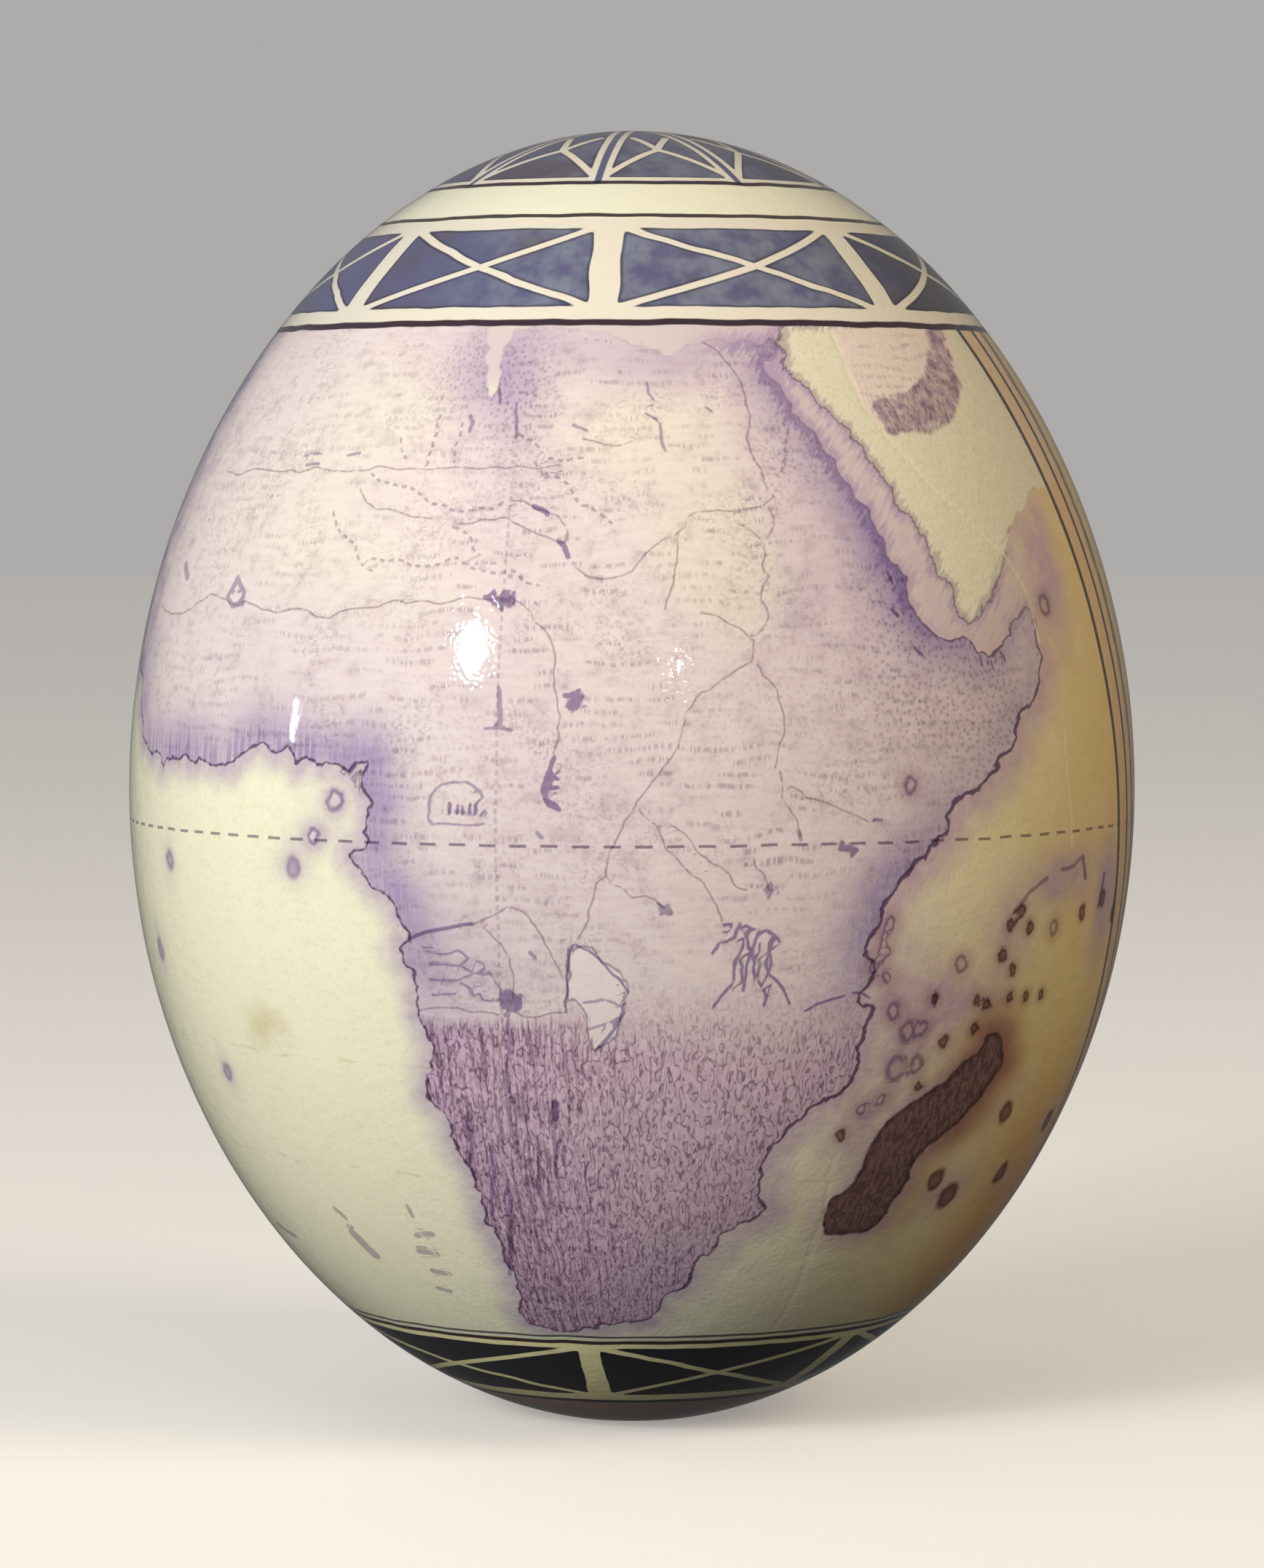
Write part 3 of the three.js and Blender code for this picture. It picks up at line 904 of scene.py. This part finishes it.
sea = laid(SEA, SEA_WARM, degrees.ramp(12, 62) * degrees.ramp(178, 110) * (0.85 + drift))
sea = laid(sea, SEA_OLIVE, degrees.ramp(42, 72) * degrees.ramp(170, 110) * (0.8 + coarse))
stain_x = (degrees - STAIN_PLACE[0]) / 5.5
stain_y = (run - STAIN_PLACE[1]) / 4.5
sea = stained(sea, STAIN, (1 - (stain_x * stain_x + stain_y * stain_y).math("SQRT") + coarse).ramp(0, 1) * 0.55)
sea = stained(sea, PAPER_GRAIN, speck.ramp(0.45, 0.8) * 0.2 + (smear * 2).most(0) * 0.3)
# Painted shade: the sea grows darker and browner towards the lower right, where less light falls.
sea = stained(sea, EAST_PAINTED_SHADE, degrees.ramp(46, 66) * degrees.ramp(170, 110) * run.ramp(-24, -52))
sea = laid(sea, NORTH_SEA, run.ramp(46, 52) * degrees.ramp(30, 24) * degrees.ramp(-60, -50))
sea = laid(sea, STRAIT, strait * stored("neighbour").ramp(-9, -3) * (0.85 + tooth * 0.4))
west_halo = (stored("land") + coarse * 2.5).ramp(-4.2, 0.6) * (1 - eastward) * run.ramp(50, 44)
east_halo = (stored("land") + coarse * 2.5).ramp(-6.2, -0.2) * eastward
isle_halo = (stored("isle") + coarse * 2.0).ramp(-4.2, 0.6)
sea_stain = stored("sea_stain") * (0.9 + coarse * 1.5)
east_halo = east_halo.most(isle_halo).most(sea_stain * eastward) * (1 - strait * 0.8)
sea = stained(sea, WEST_STAIN, west_halo.most(sea_stain * (1 - eastward)) * (0.9 + waver * 0.7))
sea = laid(sea, EAST_STAIN, east_halo.least(1) * (0.85 + waver * 0.6))
# A brown halo right of the big island, deepened by painted shade towards the lower right.
sea = stained(sea, ISLE_HALO_AND_PAINTED_SHADE, (stored("isle") + coarse * 2.0).ramp(-7.0, 0.0) * degrees.ramp(34, 46))
near_strait = inside(degrees, 12, 52, 6) * inside(run, 20, 62, 4)
shores = stored("land").most(stored("neighbour"))
sea = stained(sea, WEST_STAIN, (shores + tooth * 2.4).ramp(-1.7, -0.3) * near_strait * 0.55)

inland = laid(LAND, CREAM, (cream + drift * 0.5).ramp(0.15, 0.9))
shore = (stored("land") + coarse * 3.0 + streak * 2.5).ramp(10.5, 0.0)
inland = stained(inland, LILAC, (shore * 0.3 + cloud * (0.8 + coarse * 1.5)).least(1.0))
inland = stained(inland, VIOLET, (shore * shore * violet * (0.85 + streak * 0.9)).least(0.95))
comb = weave(around * 2.4, run * 0.1, 0.0).ramp(0.55, 0.68)
inland = stained(inland, VIOLET, comb * (stored("land") + waver * 2).ramp(4.2, 1.0) * degrees.ramp(-30, -38) * 0.6)
southward = run + 25.4 + coarse * (1.5 + degrees.ramp(-20, 10) * 4) + streak * 2
south_soft = 0.9 + degrees.ramp(-16, 8) * 6
south = southward.ramp(south_soft, -south_soft)
midland = (run + drift * 8).ramp(0.0, -26.0) * (1 - south)
inland = stained(inland, LILAC, midland * 0.08)
inland = stained(inland, INLAND_SHADE, (smear + coarse * 0.5).ramp(-0.2, 0.25) * 0.22 * (1 - south))
inland = stained(inland, VIOLET, degrees.ramp(-66, -82) * (0.5 + coarse * 2.5).most(0))
print("paper and washes ready")

# %% [markdown]
# ## The dark south and the big island
# Here the print is a dense engraving, darkest on the left, where its strokes run straight up and down.
# Further right they are loose loops, which come from a noise's contour lines.

# %% Engraving
SOUTH_PAPER = srgb(234, 214, 238)
SOUTH_INK = srgb(108, 66, 108)
ISLE_PAPER = srgb(152, 118, 116)
ISLE_INK = srgb(84, 56, 66)

long_stroke = weave(around * 1.7, run * 0.12, 1.0, 0.6)
short_stroke = weave(around * 1.6, run * 0.6, 1.0, 0.6)
loops = contours(weave(around * 0.72, run * 0.3, 2.0), 4.6, 0.13)
depth = (-(degrees + drift * 26)).ramp(-16, 18) * 0.6 + run.ramp(-36, -66) * 0.4
straight = (long_stroke + speck * 0.12).ramp(0.56, 0.42) * (-(degrees + coarse * 14)).ramp(-4, 14)
mottle = (short_stroke * 0.7 + speck * 0.3).ramp(0.60, 0.40)
inland = stained(inland, SOUTH_PAPER, south * (0.75 + depth * 0.25))
inland = stained(inland, SOUTH_INK, south * mottle * (0.17 + depth * 0.2))
inland = stained(inland, SOUTH_INK, south * loops * (0.5 + mottle * 0.15))
inland = stained(inland, SOUTH_INK, south * straight * 0.46)
island = stained(ISLE_PAPER, ISLE_INK, 0.30 + mottle * 0.35)
island = stained(island, ISLE_INK, isle_edge.ramp(1.1, 0.2) * (0.35 + waver))
print("engraving ready")

# %% [markdown]
# ## Rows of writing that can't be read
# The old map is full of tiny place names. At this size they are rows of short dashes, and dashes is all
# they are here: a row number picks a strip of noise, and no letter is drawn. Between them lie loose
# contour lines for hills, and dots.

# %% Rows of dashes, loops and stipple
INK = srgb(128, 104, 142)
ROW_PITCH = 1.42
row_place = (run + drift * 3 + waver * 0.7) / ROW_PITCH
row_number = row_place.math("FLOOR")
row_part = row_place.math("FRACT")
words = weave(around * 0.17, row_number * 7.7, 0.0)
letters = weave(around * 2.3, row_number * 5.3, 1.0, 0.7)
rows = inside(row_part, 0.25, 0.62, 0.14) * words.ramp(0.51, 0.59) * letters.ramp(0.40, 0.58)
hills = contours(weave(around * 0.42, run * 0.5, 2.0, 0.6), 4.0, 0.07) * (drift + coarse * 0.5).ramp(-0.04, 0.1)
stipple = m.node("ShaderNodeTexVoronoi", {"voronoi_dimensions": "2D"}, {"Vector": placed_at(around, run), "Scale": 1.05})
dots = stipple.ramp(0.32, 0.16) * (stored("stippled") + (drift * 2).most(0)).least(1)
north = run.ramp(-24, -8)
inland = stained(inland, INK, rows * (0.3 + tide * 1.0).most(0.1) * (0.6 + 0.4 * degrees.ramp(-50, -15)) * (0.35 + 0.65 * north) * (1 - south))
inland = stained(inland, INK, hills * 0.22 * (1 - south))
inland = stained(inland, INK, (waver + coarse).ramp(0.04, 0.34) * 0.16 * (1 - south))
inland = stained(inland, INK, dots * 0.32 * (1 - south))

# %% [markdown]
# ## Lines and spots
# Each line's mask comes from the step stored on the mesh. Where the step is short and the guard agrees,
# there is ink.

# %% Masks for lines and spots


def length(x, y):
    return (x * x + y * y).math("SQRT")


def trusted(step_length, distance):
    """0 where the mesh blends steps to two different lines, which shows as a distance that is too long."""
    return (distance - step_length).ramp(0.62, 0.46)


def line_mask(name):
    """1 on the stored lines, which are as wide as the list says, in millimetres."""
    x, y = stored(name, 0), stored(name, 1)
    half = stored(name, 2) / 2
    away = length(x + waver * 0.5, y + coarse * 0.4)
    return away.ramp(half + 0.12, half - 0.08) * trusted(length(x, y), stored(name + "_away"))


def spot_reach(name):
    """How far from the nearest spot's centre, in units of its radius, and whether it is truly near."""
    x, y = stored(name, 0), stored(name, 1)
    away = length(x + waver * 1.3, y * 0.8 + coarse * 0.7) / stored(name, 2)
    return away, trusted(length(x, y), stored(name + "_away"))


COAST_INK = srgb(100, 70, 120)
RIVER_INK = srgb(146, 122, 144)
STROKE_INK = srgb(112, 74, 158)
SPOT_BROWN = srgb(118, 70, 58)
LAKE = srgb(228, 216, 210)
NEIGHBOUR_PAPER = srgb(227, 221, 194)
PINK_PAPER = srgb(232, 214, 204)
GULF_INK = srgb(150, 132, 166)
FRINGE_INK = srgb(176, 158, 204)

land_colour = stained(inland, RIVER_INK, line_mask("rivers") * 0.62)
dash = (stored("ridges_along") / 1.25).math("FRACT").ramp(0.62, 0.5)
land_colour = stained(land_colour, INK, line_mask("ridges") * dash * 0.5)
land_fringe = (stored("land") + tooth * 3 + coarse).ramp(1.8, 0.8) * near_strait
land_colour = stained(land_colour, FRINGE_INK, land_fringe * 0.6)
lake_edge = stored("lake") + waver * 0.3 + streak * 0.5

colour = laid(sea, land_colour, land)
colour = laid(colour, LAKE, lake_edge.ramp(-0.1, 0.15) * 0.9)
colour = stained(colour, COAST_INK, inside(lake_edge, -0.15, 0.12, 0.12) * 0.55)
colour = laid(colour, island, isle)
pink_block = (stored("pink_block") + waver * 0.5).ramp(-0.3, 0.3)
block = laid(NEIGHBOUR_PAPER, PINK_PAPER, pink_block)
block = stained(block, PAPER_GRAIN, speck.ramp(0.45, 0.8) * 0.3 + (smear * 2).most(0) * 0.3)
block = stained(block, INK, rows * 0.3 * pink_block)
gulf_edge = stored("gulf") + waver * 0.8 + streak * 0.6
block = stained(block, GULF_INK, gulf_edge.ramp(-0.3, 0.4) * (0.62 + loops * 0.3 + waver * 1.2))
fringe = (stored("neighbour") + tooth * 2.4).ramp(1.2, 0.4) * degrees.ramp(56, 40)
block = stained(block, FRINGE_INK, fringe * 0.55)
colour = laid(colour, block, neighbour)

southern_shore = inside(run, -40, -23, 3) * degrees.ramp(14, 24)
eastern_shore = degrees.ramp(24, 30) * run.ramp(12, 4)
coast_half = 0.13 + southern_shore.most(eastern_shore) * 0.11 + coarse * 0.3 + tooth * 0.35
coast_line = (land_edge.math("ABSOLUTE") - coast_half).ramp(0.12, -0.1)
faint = 0.12 + 0.28 * run.ramp(52, 42) + 0.6 * run.ramp(26, 16)
coast_line = coast_line * faint
coast_line = coast_line.most(inside(isle_edge, -0.2, 0.2, 0.13) * 0.6)
coast_line = coast_line.most(inside(neighbour_edge, -0.18, 0.12, 0.13) * degrees.ramp(58, 44) * 0.7)
colour = stained(colour, COAST_INK, coast_line * 0.85)
colour = stained(colour, STROKE_INK, line_mask("strokes") * stored("strokes_ink"))

ring_away, ring_near = spot_reach("rings")
spot_away, spot_near = spot_reach("spots")
around_spots = laid(WEST_STAIN, EAST_STAIN, eastward)
colour = stained(colour, around_spots, (stored("rings_away") + coarse).ramp(3.0, 0.6) * 0.5)
colour = stained(colour, around_spots, (stored("spots_away") + coarse).ramp(2.2, 0.3) * 0.6)
colour = laid(colour, LAKE, ring_away.ramp(0.9, 0.5) * ring_near * (0.5 - eastward * 0.4))
colour = stained(colour, STROKE_INK, inside(ring_away, 0.7, 1.25, 0.3) * ring_near * 0.6)
spot_paint = laid(STROKE_INK, SPOT_BROWN, eastward)
spot_ink = spot_away.ramp(1.5, 0.8) * (0.18 + eastward * 0.42) + inside(spot_away, 0.6, 1.2, 0.35) * 0.3
colour = stained(colour, spot_paint, spot_ink * spot_near)

EQUATOR_RUN = -4.53
DASH_PITCH = 3.6
FRAME_DEGREES = 70.5
FRAME_LEAN = 0.13
FRAME_INK = srgb(48, 28, 32)
FRAME_STRIP = srgb(220, 180, 128)
WRINKLE = srgb(220, 212, 186)
SEAM_PAPER_AND_SHEEN = srgb(240, 234, 206)
equator = inside(run + drift * 0.4, EQUATOR_RUN - 0.17, EQUATOR_RUN + 0.17)
equator = equator * inside((around / DASH_PITCH).math("FRACT"), 0.1, 0.65, 0.03)
colour = stained(colour, COAST_INK, equator * 0.72)
meridian = inside(degrees + drift * 0.6, -14.6, -14.25, 0.1) * inside((run / 1.1).math("FRACT"), 0.1, 0.7, 0.1)
colour = stained(colour, INK, meridian * run.ramp(50, 30) * 0.3)
for level in (-31.5, -46.0):
    wrinkle = inside(run + drift * 3 + degrees * 0.02, level - 0.15, level + 0.15, 0.15) * (smear * 4).most(0)
    colour = stained(colour, WRINKLE, wrinkle * (1 - land) * 0.6)
frame_place = (degrees - (FRAME_DEGREES - FRAME_LEAN * run)) * math.radians(1) * ring_radius
strip = inside(frame_place, 0.3, 9.2, 0.2)
colour = laid(colour, FRAME_STRIP, strip * 0.7)
frame_line = inside(frame_place, -0.65, 0.4, 0.15).most(inside(frame_place, 4.0, 5.0))
colour = stained(colour, FRAME_INK, frame_line * 0.95)
brushed = inside(frame_place + tremble * 1.2, 7.6, 9.4, 0.4) * (0.85 + streak * 1.8).least(1)
colour = stained(colour, FRAME_INK, brushed * 0.9)
overlap = stored("seams_away").ramp(3.4, 0.6) * run.ramp(-42, -50) * inside(degrees, 12, 42, 4) * (1 - isle)
colour = laid(colour, SEAM_PAPER_AND_SHEEN, overlap * (1 - land) * 0.4)
# The seams' pale lines are partly pale paper edges and partly a painted highlight on their ridges.
colour = laid(colour, SEAM_PAPER_AND_SHEEN, line_mask("seams") * (0.45 + drift))

# %% [markdown]
# ## The lattice bands
# Two bands hide the ends of the paper, and a cap covers the top. Each has dark panels crossed by pale
# lines, and the cells between the lines are cut with slightly round corners.

# %% Bands and cap
BAND_CREAM = srgb(225, 217, 199)
LOWER_CREAM = srgb(255, 246, 186)
NAVY = srgb(90, 90, 122)
SLATE = srgb(130, 136, 148)
BLACKISH = srgb(40, 38, 44)
BAND_INK = srgb(64, 46, 66)

panel_place = m.node("ShaderNodeUVMap", {"uv_map": "panels"})
panel_number = m.node("ShaderNodeSeparateXYZ", sockets={0: panel_place}, out=0)
panel_part = panel_number.math("FRACT") - 0.5


def lattice_cells(low, high, panels, post, line):
    """Millimetres inside the nearest dark cell of a band between two runs. Below 0 is on a pale line."""
    half_panel = ring_radius * (math.pi / panels)
    across = (panel_part * 2 * half_panel + tremble * 0.9).math("ABSOLUTE")
    upward = (run - (low + high) / 2 + tremble * 0.6).math("ABSOLUTE")
    inner_width = half_panel - post / 2
    inner_height = (high - low) / 2
    slant = across / inner_width - upward / inner_height
    steepness = (1 / (inner_width * inner_width) + 1 / inner_height**2).math("SQRT")
    to_crossing = slant.math("ABSOLUTE") / steepness - line / 2
    to_post = inner_width - across
    to_rim = inner_height - upward
    nearest_side = to_crossing.math("SMOOTH_MIN", to_post, 0.8)
    return nearest_side.math("SMOOTH_MIN", to_rim, 0.8)


def band(base, levels, cells, ground, fill):
    """Lays a band over the base: its pale ground, its dark cells, and a darker edge inside each cell."""
    low_line, low, high, high_line = [float(run_at(level)) for level in levels]
    base = laid(base, ground, inside(run + tremble * 0.5, low_line, high_line))
    outline = cells.ramp(0.5, 0.1)
    cell = stained(fill, BLACKISH, outline * 0.6)
    return laid(base, cell, cells.ramp(-0.06, 0.1) * inside(run, low - 0.4, high + 0.4))


print("bands ready")

# %% The upper and the lower band
UPPER_LEVELS = (55.4, 56.9, 66.4, 67.6)
LOWER_LEVELS = (-73.9, -73.0, -65.9, -64.8)
PLAIN_STRIP = srgb(232, 230, 204)

upper_low, upper_high = float(run_at(UPPER_LEVELS[1])), float(run_at(UPPER_LEVELS[2]))
lower_low, lower_high = float(run_at(LOWER_LEVELS[1])), float(run_at(LOWER_LEVELS[2]))
upper_cells = lattice_cells(upper_low, upper_high, UPPER_PANELS, 3.1, 0.85)
lower_cells = lattice_cells(lower_low, lower_high, LOWER_PANELS, 2.3, 0.8)
DARK_EDGE = srgb(92, 76, 66)
marble = grain(spot, 4.2, 2.0, 0.7) + streak * 0.12
navy = laid(NAVY, SLATE, marble.ramp(0.3, 0.7) * 0.75 * degrees.ramp(-45, -10) * degrees.ramp(75, 30))
# Painted shade: the dark panels of the bands and the cap grow blacker towards the right side.
navy = laid(navy, BLACKISH, degrees.ramp(30, 70) * degrees.ramp(175, 120) * 0.8)
navy = laid(navy, DARK_EDGE, tide.ramp(0.04, 0.16) * 0.5)

ends = band(PLAIN_STRIP, UPPER_LEVELS, upper_cells, BAND_CREAM, navy)
ends = band(ends, LOWER_LEVELS, lower_cells, LOWER_CREAM, BLACKISH)


def ring_line(base, low, high, ink, strength=1.0):
    """A dark line round the egg between two heights above mid-height."""
    low_run, high_run = float(run_at(low)), float(run_at(high))
    return stained(base, ink, inside(run + tremble * 0.6, low_run, high_run, 0.1) * strength)


ends = ring_line(ends, 54.4, 55.45, BAND_INK)
ends = ring_line(ends, 67.75, 68.2, srgb(74, 66, 70))
ends = ring_line(ends, -65.3, -64.8, BAND_INK)
ends = ring_line(ends, -64.4, -64.1, BAND_INK, 0.9)
ends = ring_line(ends, -74.4, -73.9, BAND_INK)
SHELL = srgb(180, 142, 126)
shell = laid(SHELL, srgb(168, 138, 128), (coarse + waver * 0.5).ramp(0.0, 0.2) * 0.6)
ends = laid(ends, shell, run.ramp(float(run_at(-74.3)), float(run_at(-74.5))))
print("bands at runs", round(upper_low, 1), round(upper_high, 1), round(lower_low, 1), round(lower_high, 1))

# %% [markdown]
# The cap is nine sectors between dark stripes that run to the top. In each sector two pale arms rise
# from the corners, meet, and open again towards the stripes. Seen from above, each arm is straight, so
# it is measured in flat millimetres from the egg's axis.

# %% The cap
CAP_HEIGHT = 72.0
ARM_FOOT = (6.9, 22.2)
ARM_NODE = (0.0, 16.6)
ARM_TIP = (2.0, 11.2)
STRIPE_CORE = 0.42
STRIPE_CREAM = 1.15

sector_half = math.pi / CAP_SECTORS
sector_angle = (panel_part * (2 * sector_half)).math("ABSOLUTE")
sector_x = ring_radius * sector_angle.math("SINE") + tremble * 0.3
sector_y = ring_radius * sector_angle.math("COSINE")
to_stripe = ring_radius * (sector_half - sector_angle).math("SINE") + tremble * 0.2


def to_arm(start, end):
    """Millimetres from the straight arm between two places in a sector."""
    length = math.dist(start, end)
    heading = ((end[0] - start[0]) / length, (end[1] - start[1]) / length)
    off_x = sector_x - start[0]
    off_y = sector_y - start[1]
    share = (off_x * heading[0] + off_y * heading[1]).most(0).least(length)
    off_x = off_x - share * heading[0]
    off_y = off_y - share * heading[1]
    return (off_x * off_x + off_y * off_y).math("SQRT")


arm = to_arm(ARM_FOOT, ARM_NODE).least(to_arm(ARM_NODE, ARM_TIP))
cap_low = float(run_at(CAP_HEIGHT))
cap_cells = (arm - 0.4).math("SMOOTH_MIN", to_stripe - STRIPE_CREAM, 0.6)
cap_cells = cap_cells.math("SMOOTH_MIN", run - (cap_low + 1.5), 0.5)
cap_fill = laid(navy, BLACKISH, 0.2)
cap = stained(cap_fill, BLACKISH, cap_cells.ramp(0.45, 0.05) * 0.6)
cap = laid(BAND_CREAM, cap, cap_cells.ramp(-0.06, 0.1))
cap = laid(cap, NAVY, to_stripe.ramp(STRIPE_CORE + 0.07, STRIPE_CORE - 0.07))
ends = laid(ends, cap, (run + tremble * 0.4).ramp(cap_low, cap_low + 0.1))
ends = ring_line(ends, 71.9, 72.35, BAND_INK)
print("cap begins at run", round(cap_low, 1))

# %% [markdown]
# ## Lacquer
# A thick clear lacquer gives sharp highlights. It isn't quite smooth: it follows the paper's fibres and
# dries with a fine orange-peel texture, so a weak bump feeds the normal. A clear coat lies over it.

# %% Lacquer and the finished material
LACQUER_ROUGHNESS = 0.045

fibre = grain(spot, 0.55, 0.0)
peel = grain(spot, 2.2, 0.0)
calm = inside(degrees, -58, -36, 5)
relief = (peel * 0.45 + fibre * 0.26) * (1 - calm * 0.9) + stored("seams_away").ramp(0.1, 0.7) * 0.3
bump = m.node("ShaderNodeBump", sockets={"Strength": 0.6, "Distance": 0.00016, "Height": relief})
roughness = LACQUER_ROUGHNESS + tide * 0.06


def lacquered(colour):
    """A colour under the glossy lacquer."""
    sockets = {"Base Color": colour, "Roughness": roughness, "Normal": bump, "IOR": 1.5}
    sockets.update({"Coat Weight": 0.25, "Coat Roughness": 0.02})
    return m.node("ShaderNodeBsdfPrincipled", sockets=sockets)


map_low, map_high = float(run_at(-64.08)), float(run_at(54.7))
off_map = 1 - inside(run + tremble * 0.6, map_low, map_high, 0.08)
shader = m.node("ShaderNodeMixShader", sockets={0: off_map, 1: lacquered(colour), 2: lacquered(ends)})
out_node = print_material.node_tree.nodes.new("ShaderNodeOutputMaterial")
print_material.node_tree.links.new(shader.socket, out_node.inputs["Surface"])
print("material has", len(print_material.node_tree.nodes), "nodes")

# %% [markdown]
# ## Floor, light and camera
# A plain pale floor and a pale world stand in for a photographer's table. One broad light gives the soft
# shape, and small bright ones give the highlights. Where a highlight is wanted on the glossy surface is
# known from the photo, so each small light is placed where that spot mirrors it to the camera.

# %% Floor and world
FLOOR_RADIUS = 6.0
WORLD_ABOVE = (0.205, 0.205, 0.21, 1.0)
WORLD_BELOW = (0.055, 0.055, 0.055, 1.0)
WORLD_SEEN = (0.42, 0.41, 0.40, 1.0)

bpy.ops.mesh.primitive_circle_add(vertices=96, radius=FLOOR_RADIUS, fill_type="NGON")
floor = bpy.context.object
floor.name = "pale_floor"
floor_material = bpy.data.materials.new("pale_floor")
floor_material.use_nodes = True
floor_surface = floor_material.node_tree.nodes["Principled BSDF"]
floor_surface.inputs["Base Color"].default_value = srgb(226, 222, 216)
floor_surface.inputs["Roughness"].default_value = 0.8
floor_surface.inputs["Emission Color"].default_value = srgb(226, 222, 216)
floor_surface.inputs["Emission Strength"].default_value = 0.38
floor_material.cycles.emission_sampling = "NONE"
floor.data.materials.append(floor_material)
floor.visible_diffuse = False
floor.visible_glossy = False

world = bpy.data.worlds.new("soft studio")
world.use_nodes = True
w = Graph(world.node_tree)
seen = w.node("ShaderNodeLightPath")
heading = w.node("ShaderNodeTexCoord", out=0)
upward = w.node("ShaderNodeSeparateXYZ", sockets={0: heading}, out=2).ramp(-0.5, 0.5)
soft = w.node("ShaderNodeMix", {"data_type": "RGBA"}, {0: upward, 6: WORLD_BELOW, 7: WORLD_ABOVE}, out=2)
world_colour = w.node("ShaderNodeMix", {"data_type": "RGBA"}, {0: seen, 6: soft, 7: WORLD_SEEN}, out=2)
world.node_tree.links.new(world_colour.socket, world.node_tree.nodes["Background"].inputs["Color"])
bpy.context.scene.world = world
print("floor", FLOOR_RADIUS, "m")

# %% Lights
eye = Vector((0, -VIEW_DISTANCE, MIDDLE_Z + VIEW_HEIGHT)) * MM


def surface_place(right, up):
    """The point of the surface seen at a place in the axis's upright plane, and its outward normal."""
    azimuth, run = onto_egg([(right, up)])[0]
    height = float(np.interp(run, fine_runs, fine_heights))
    ring = float(radius_at(height / HALF_HEIGHT))
    slope = float(radius_at((height + 0.1) / HALF_HEIGHT) - radius_at((height - 0.1) / HALF_HEIGHT)) / 0.2
    outward = Vector((math.sin(math.radians(azimuth)), -math.cos(math.radians(azimuth)), 0))
    point = outward * ring + Vector((0, 0, height + MIDDLE_Z))
    return point * MM, (outward - Vector((0, 0, slope))).normalized()


def add_light(name, place, target, size, watts, colour):
    lamp = bpy.data.lights.new(name, "AREA")
    lamp.shape = "ELLIPSE"
    lamp.size, lamp.size_y = size
    lamp.energy = watts
    lamp.color = colour
    made = bpy.data.objects.new(name, lamp)
    made.location = place
    made.rotation_euler = (Vector(target) - Vector(place)).to_track_quat("-Z", "Y").to_euler()
    bpy.context.scene.collection.objects.link(made)
    return made


def add_glint(name, right, up, distance, size, watts, colour):
    """A small light placed so that the surface mirrors it to the camera at that place."""
    point, normal = surface_place(right, up)
    to_eye = (eye - point).normalized()
    towards = 2 * normal.dot(to_eye) * normal - to_eye
    place = point + towards * distance
    print(name, "stands at", [round(c, 3) for c in place])
    return add_light(name, place, point, size, watts, colour)


MIDDLE = (0, 0, MIDDLE_Z * MM)
broad = add_light("broad light", (-0.98, -1.10, 0.56), MIDDLE, (0.9, 0.9), 20.0, (1.0, 1.0, 1.0))
fill = add_light("warm fill", (1.3, -0.75, 1.1), MIDDLE, (0.9, 0.9), 14.6, (1.0, 0.80, 0.52))
for lamp in (broad, fill):
    lamp.visible_glossy = False
add_glint("main glint", -19.6, 16.4, 0.8, (0.108, 0.112), 1.6, (1.0, 0.99, 0.97))
add_glint("warm glint", 5.4, 13.6, 0.8, (0.014, 0.026), 0.10, (1.0, 0.82, 0.6))
add_glint("streak glint", -42.0, 7.2, 0.8, (0.005, 0.06), 0.28, (1.0, 0.98, 0.95))

# %% Camera
LENS = 130.25
TILT = 3.09

camera_data = bpy.data.cameras.new("camera")
camera_data.lens = LENS
camera_data.sensor_width = 36
camera = bpy.data.objects.new("camera", camera_data)
camera.location = eye
camera.rotation_euler = (math.radians(90 - TILT), 0, 0)
bpy.context.scene.collection.objects.link(camera)
bpy.context.scene.camera = camera
bpy.context.scene.view_settings.view_transform = "Standard"
print("camera at", [round(c, 3) for c in camera.location])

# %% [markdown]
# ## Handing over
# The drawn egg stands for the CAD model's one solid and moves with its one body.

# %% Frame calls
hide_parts("egg")
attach(egg, "root")
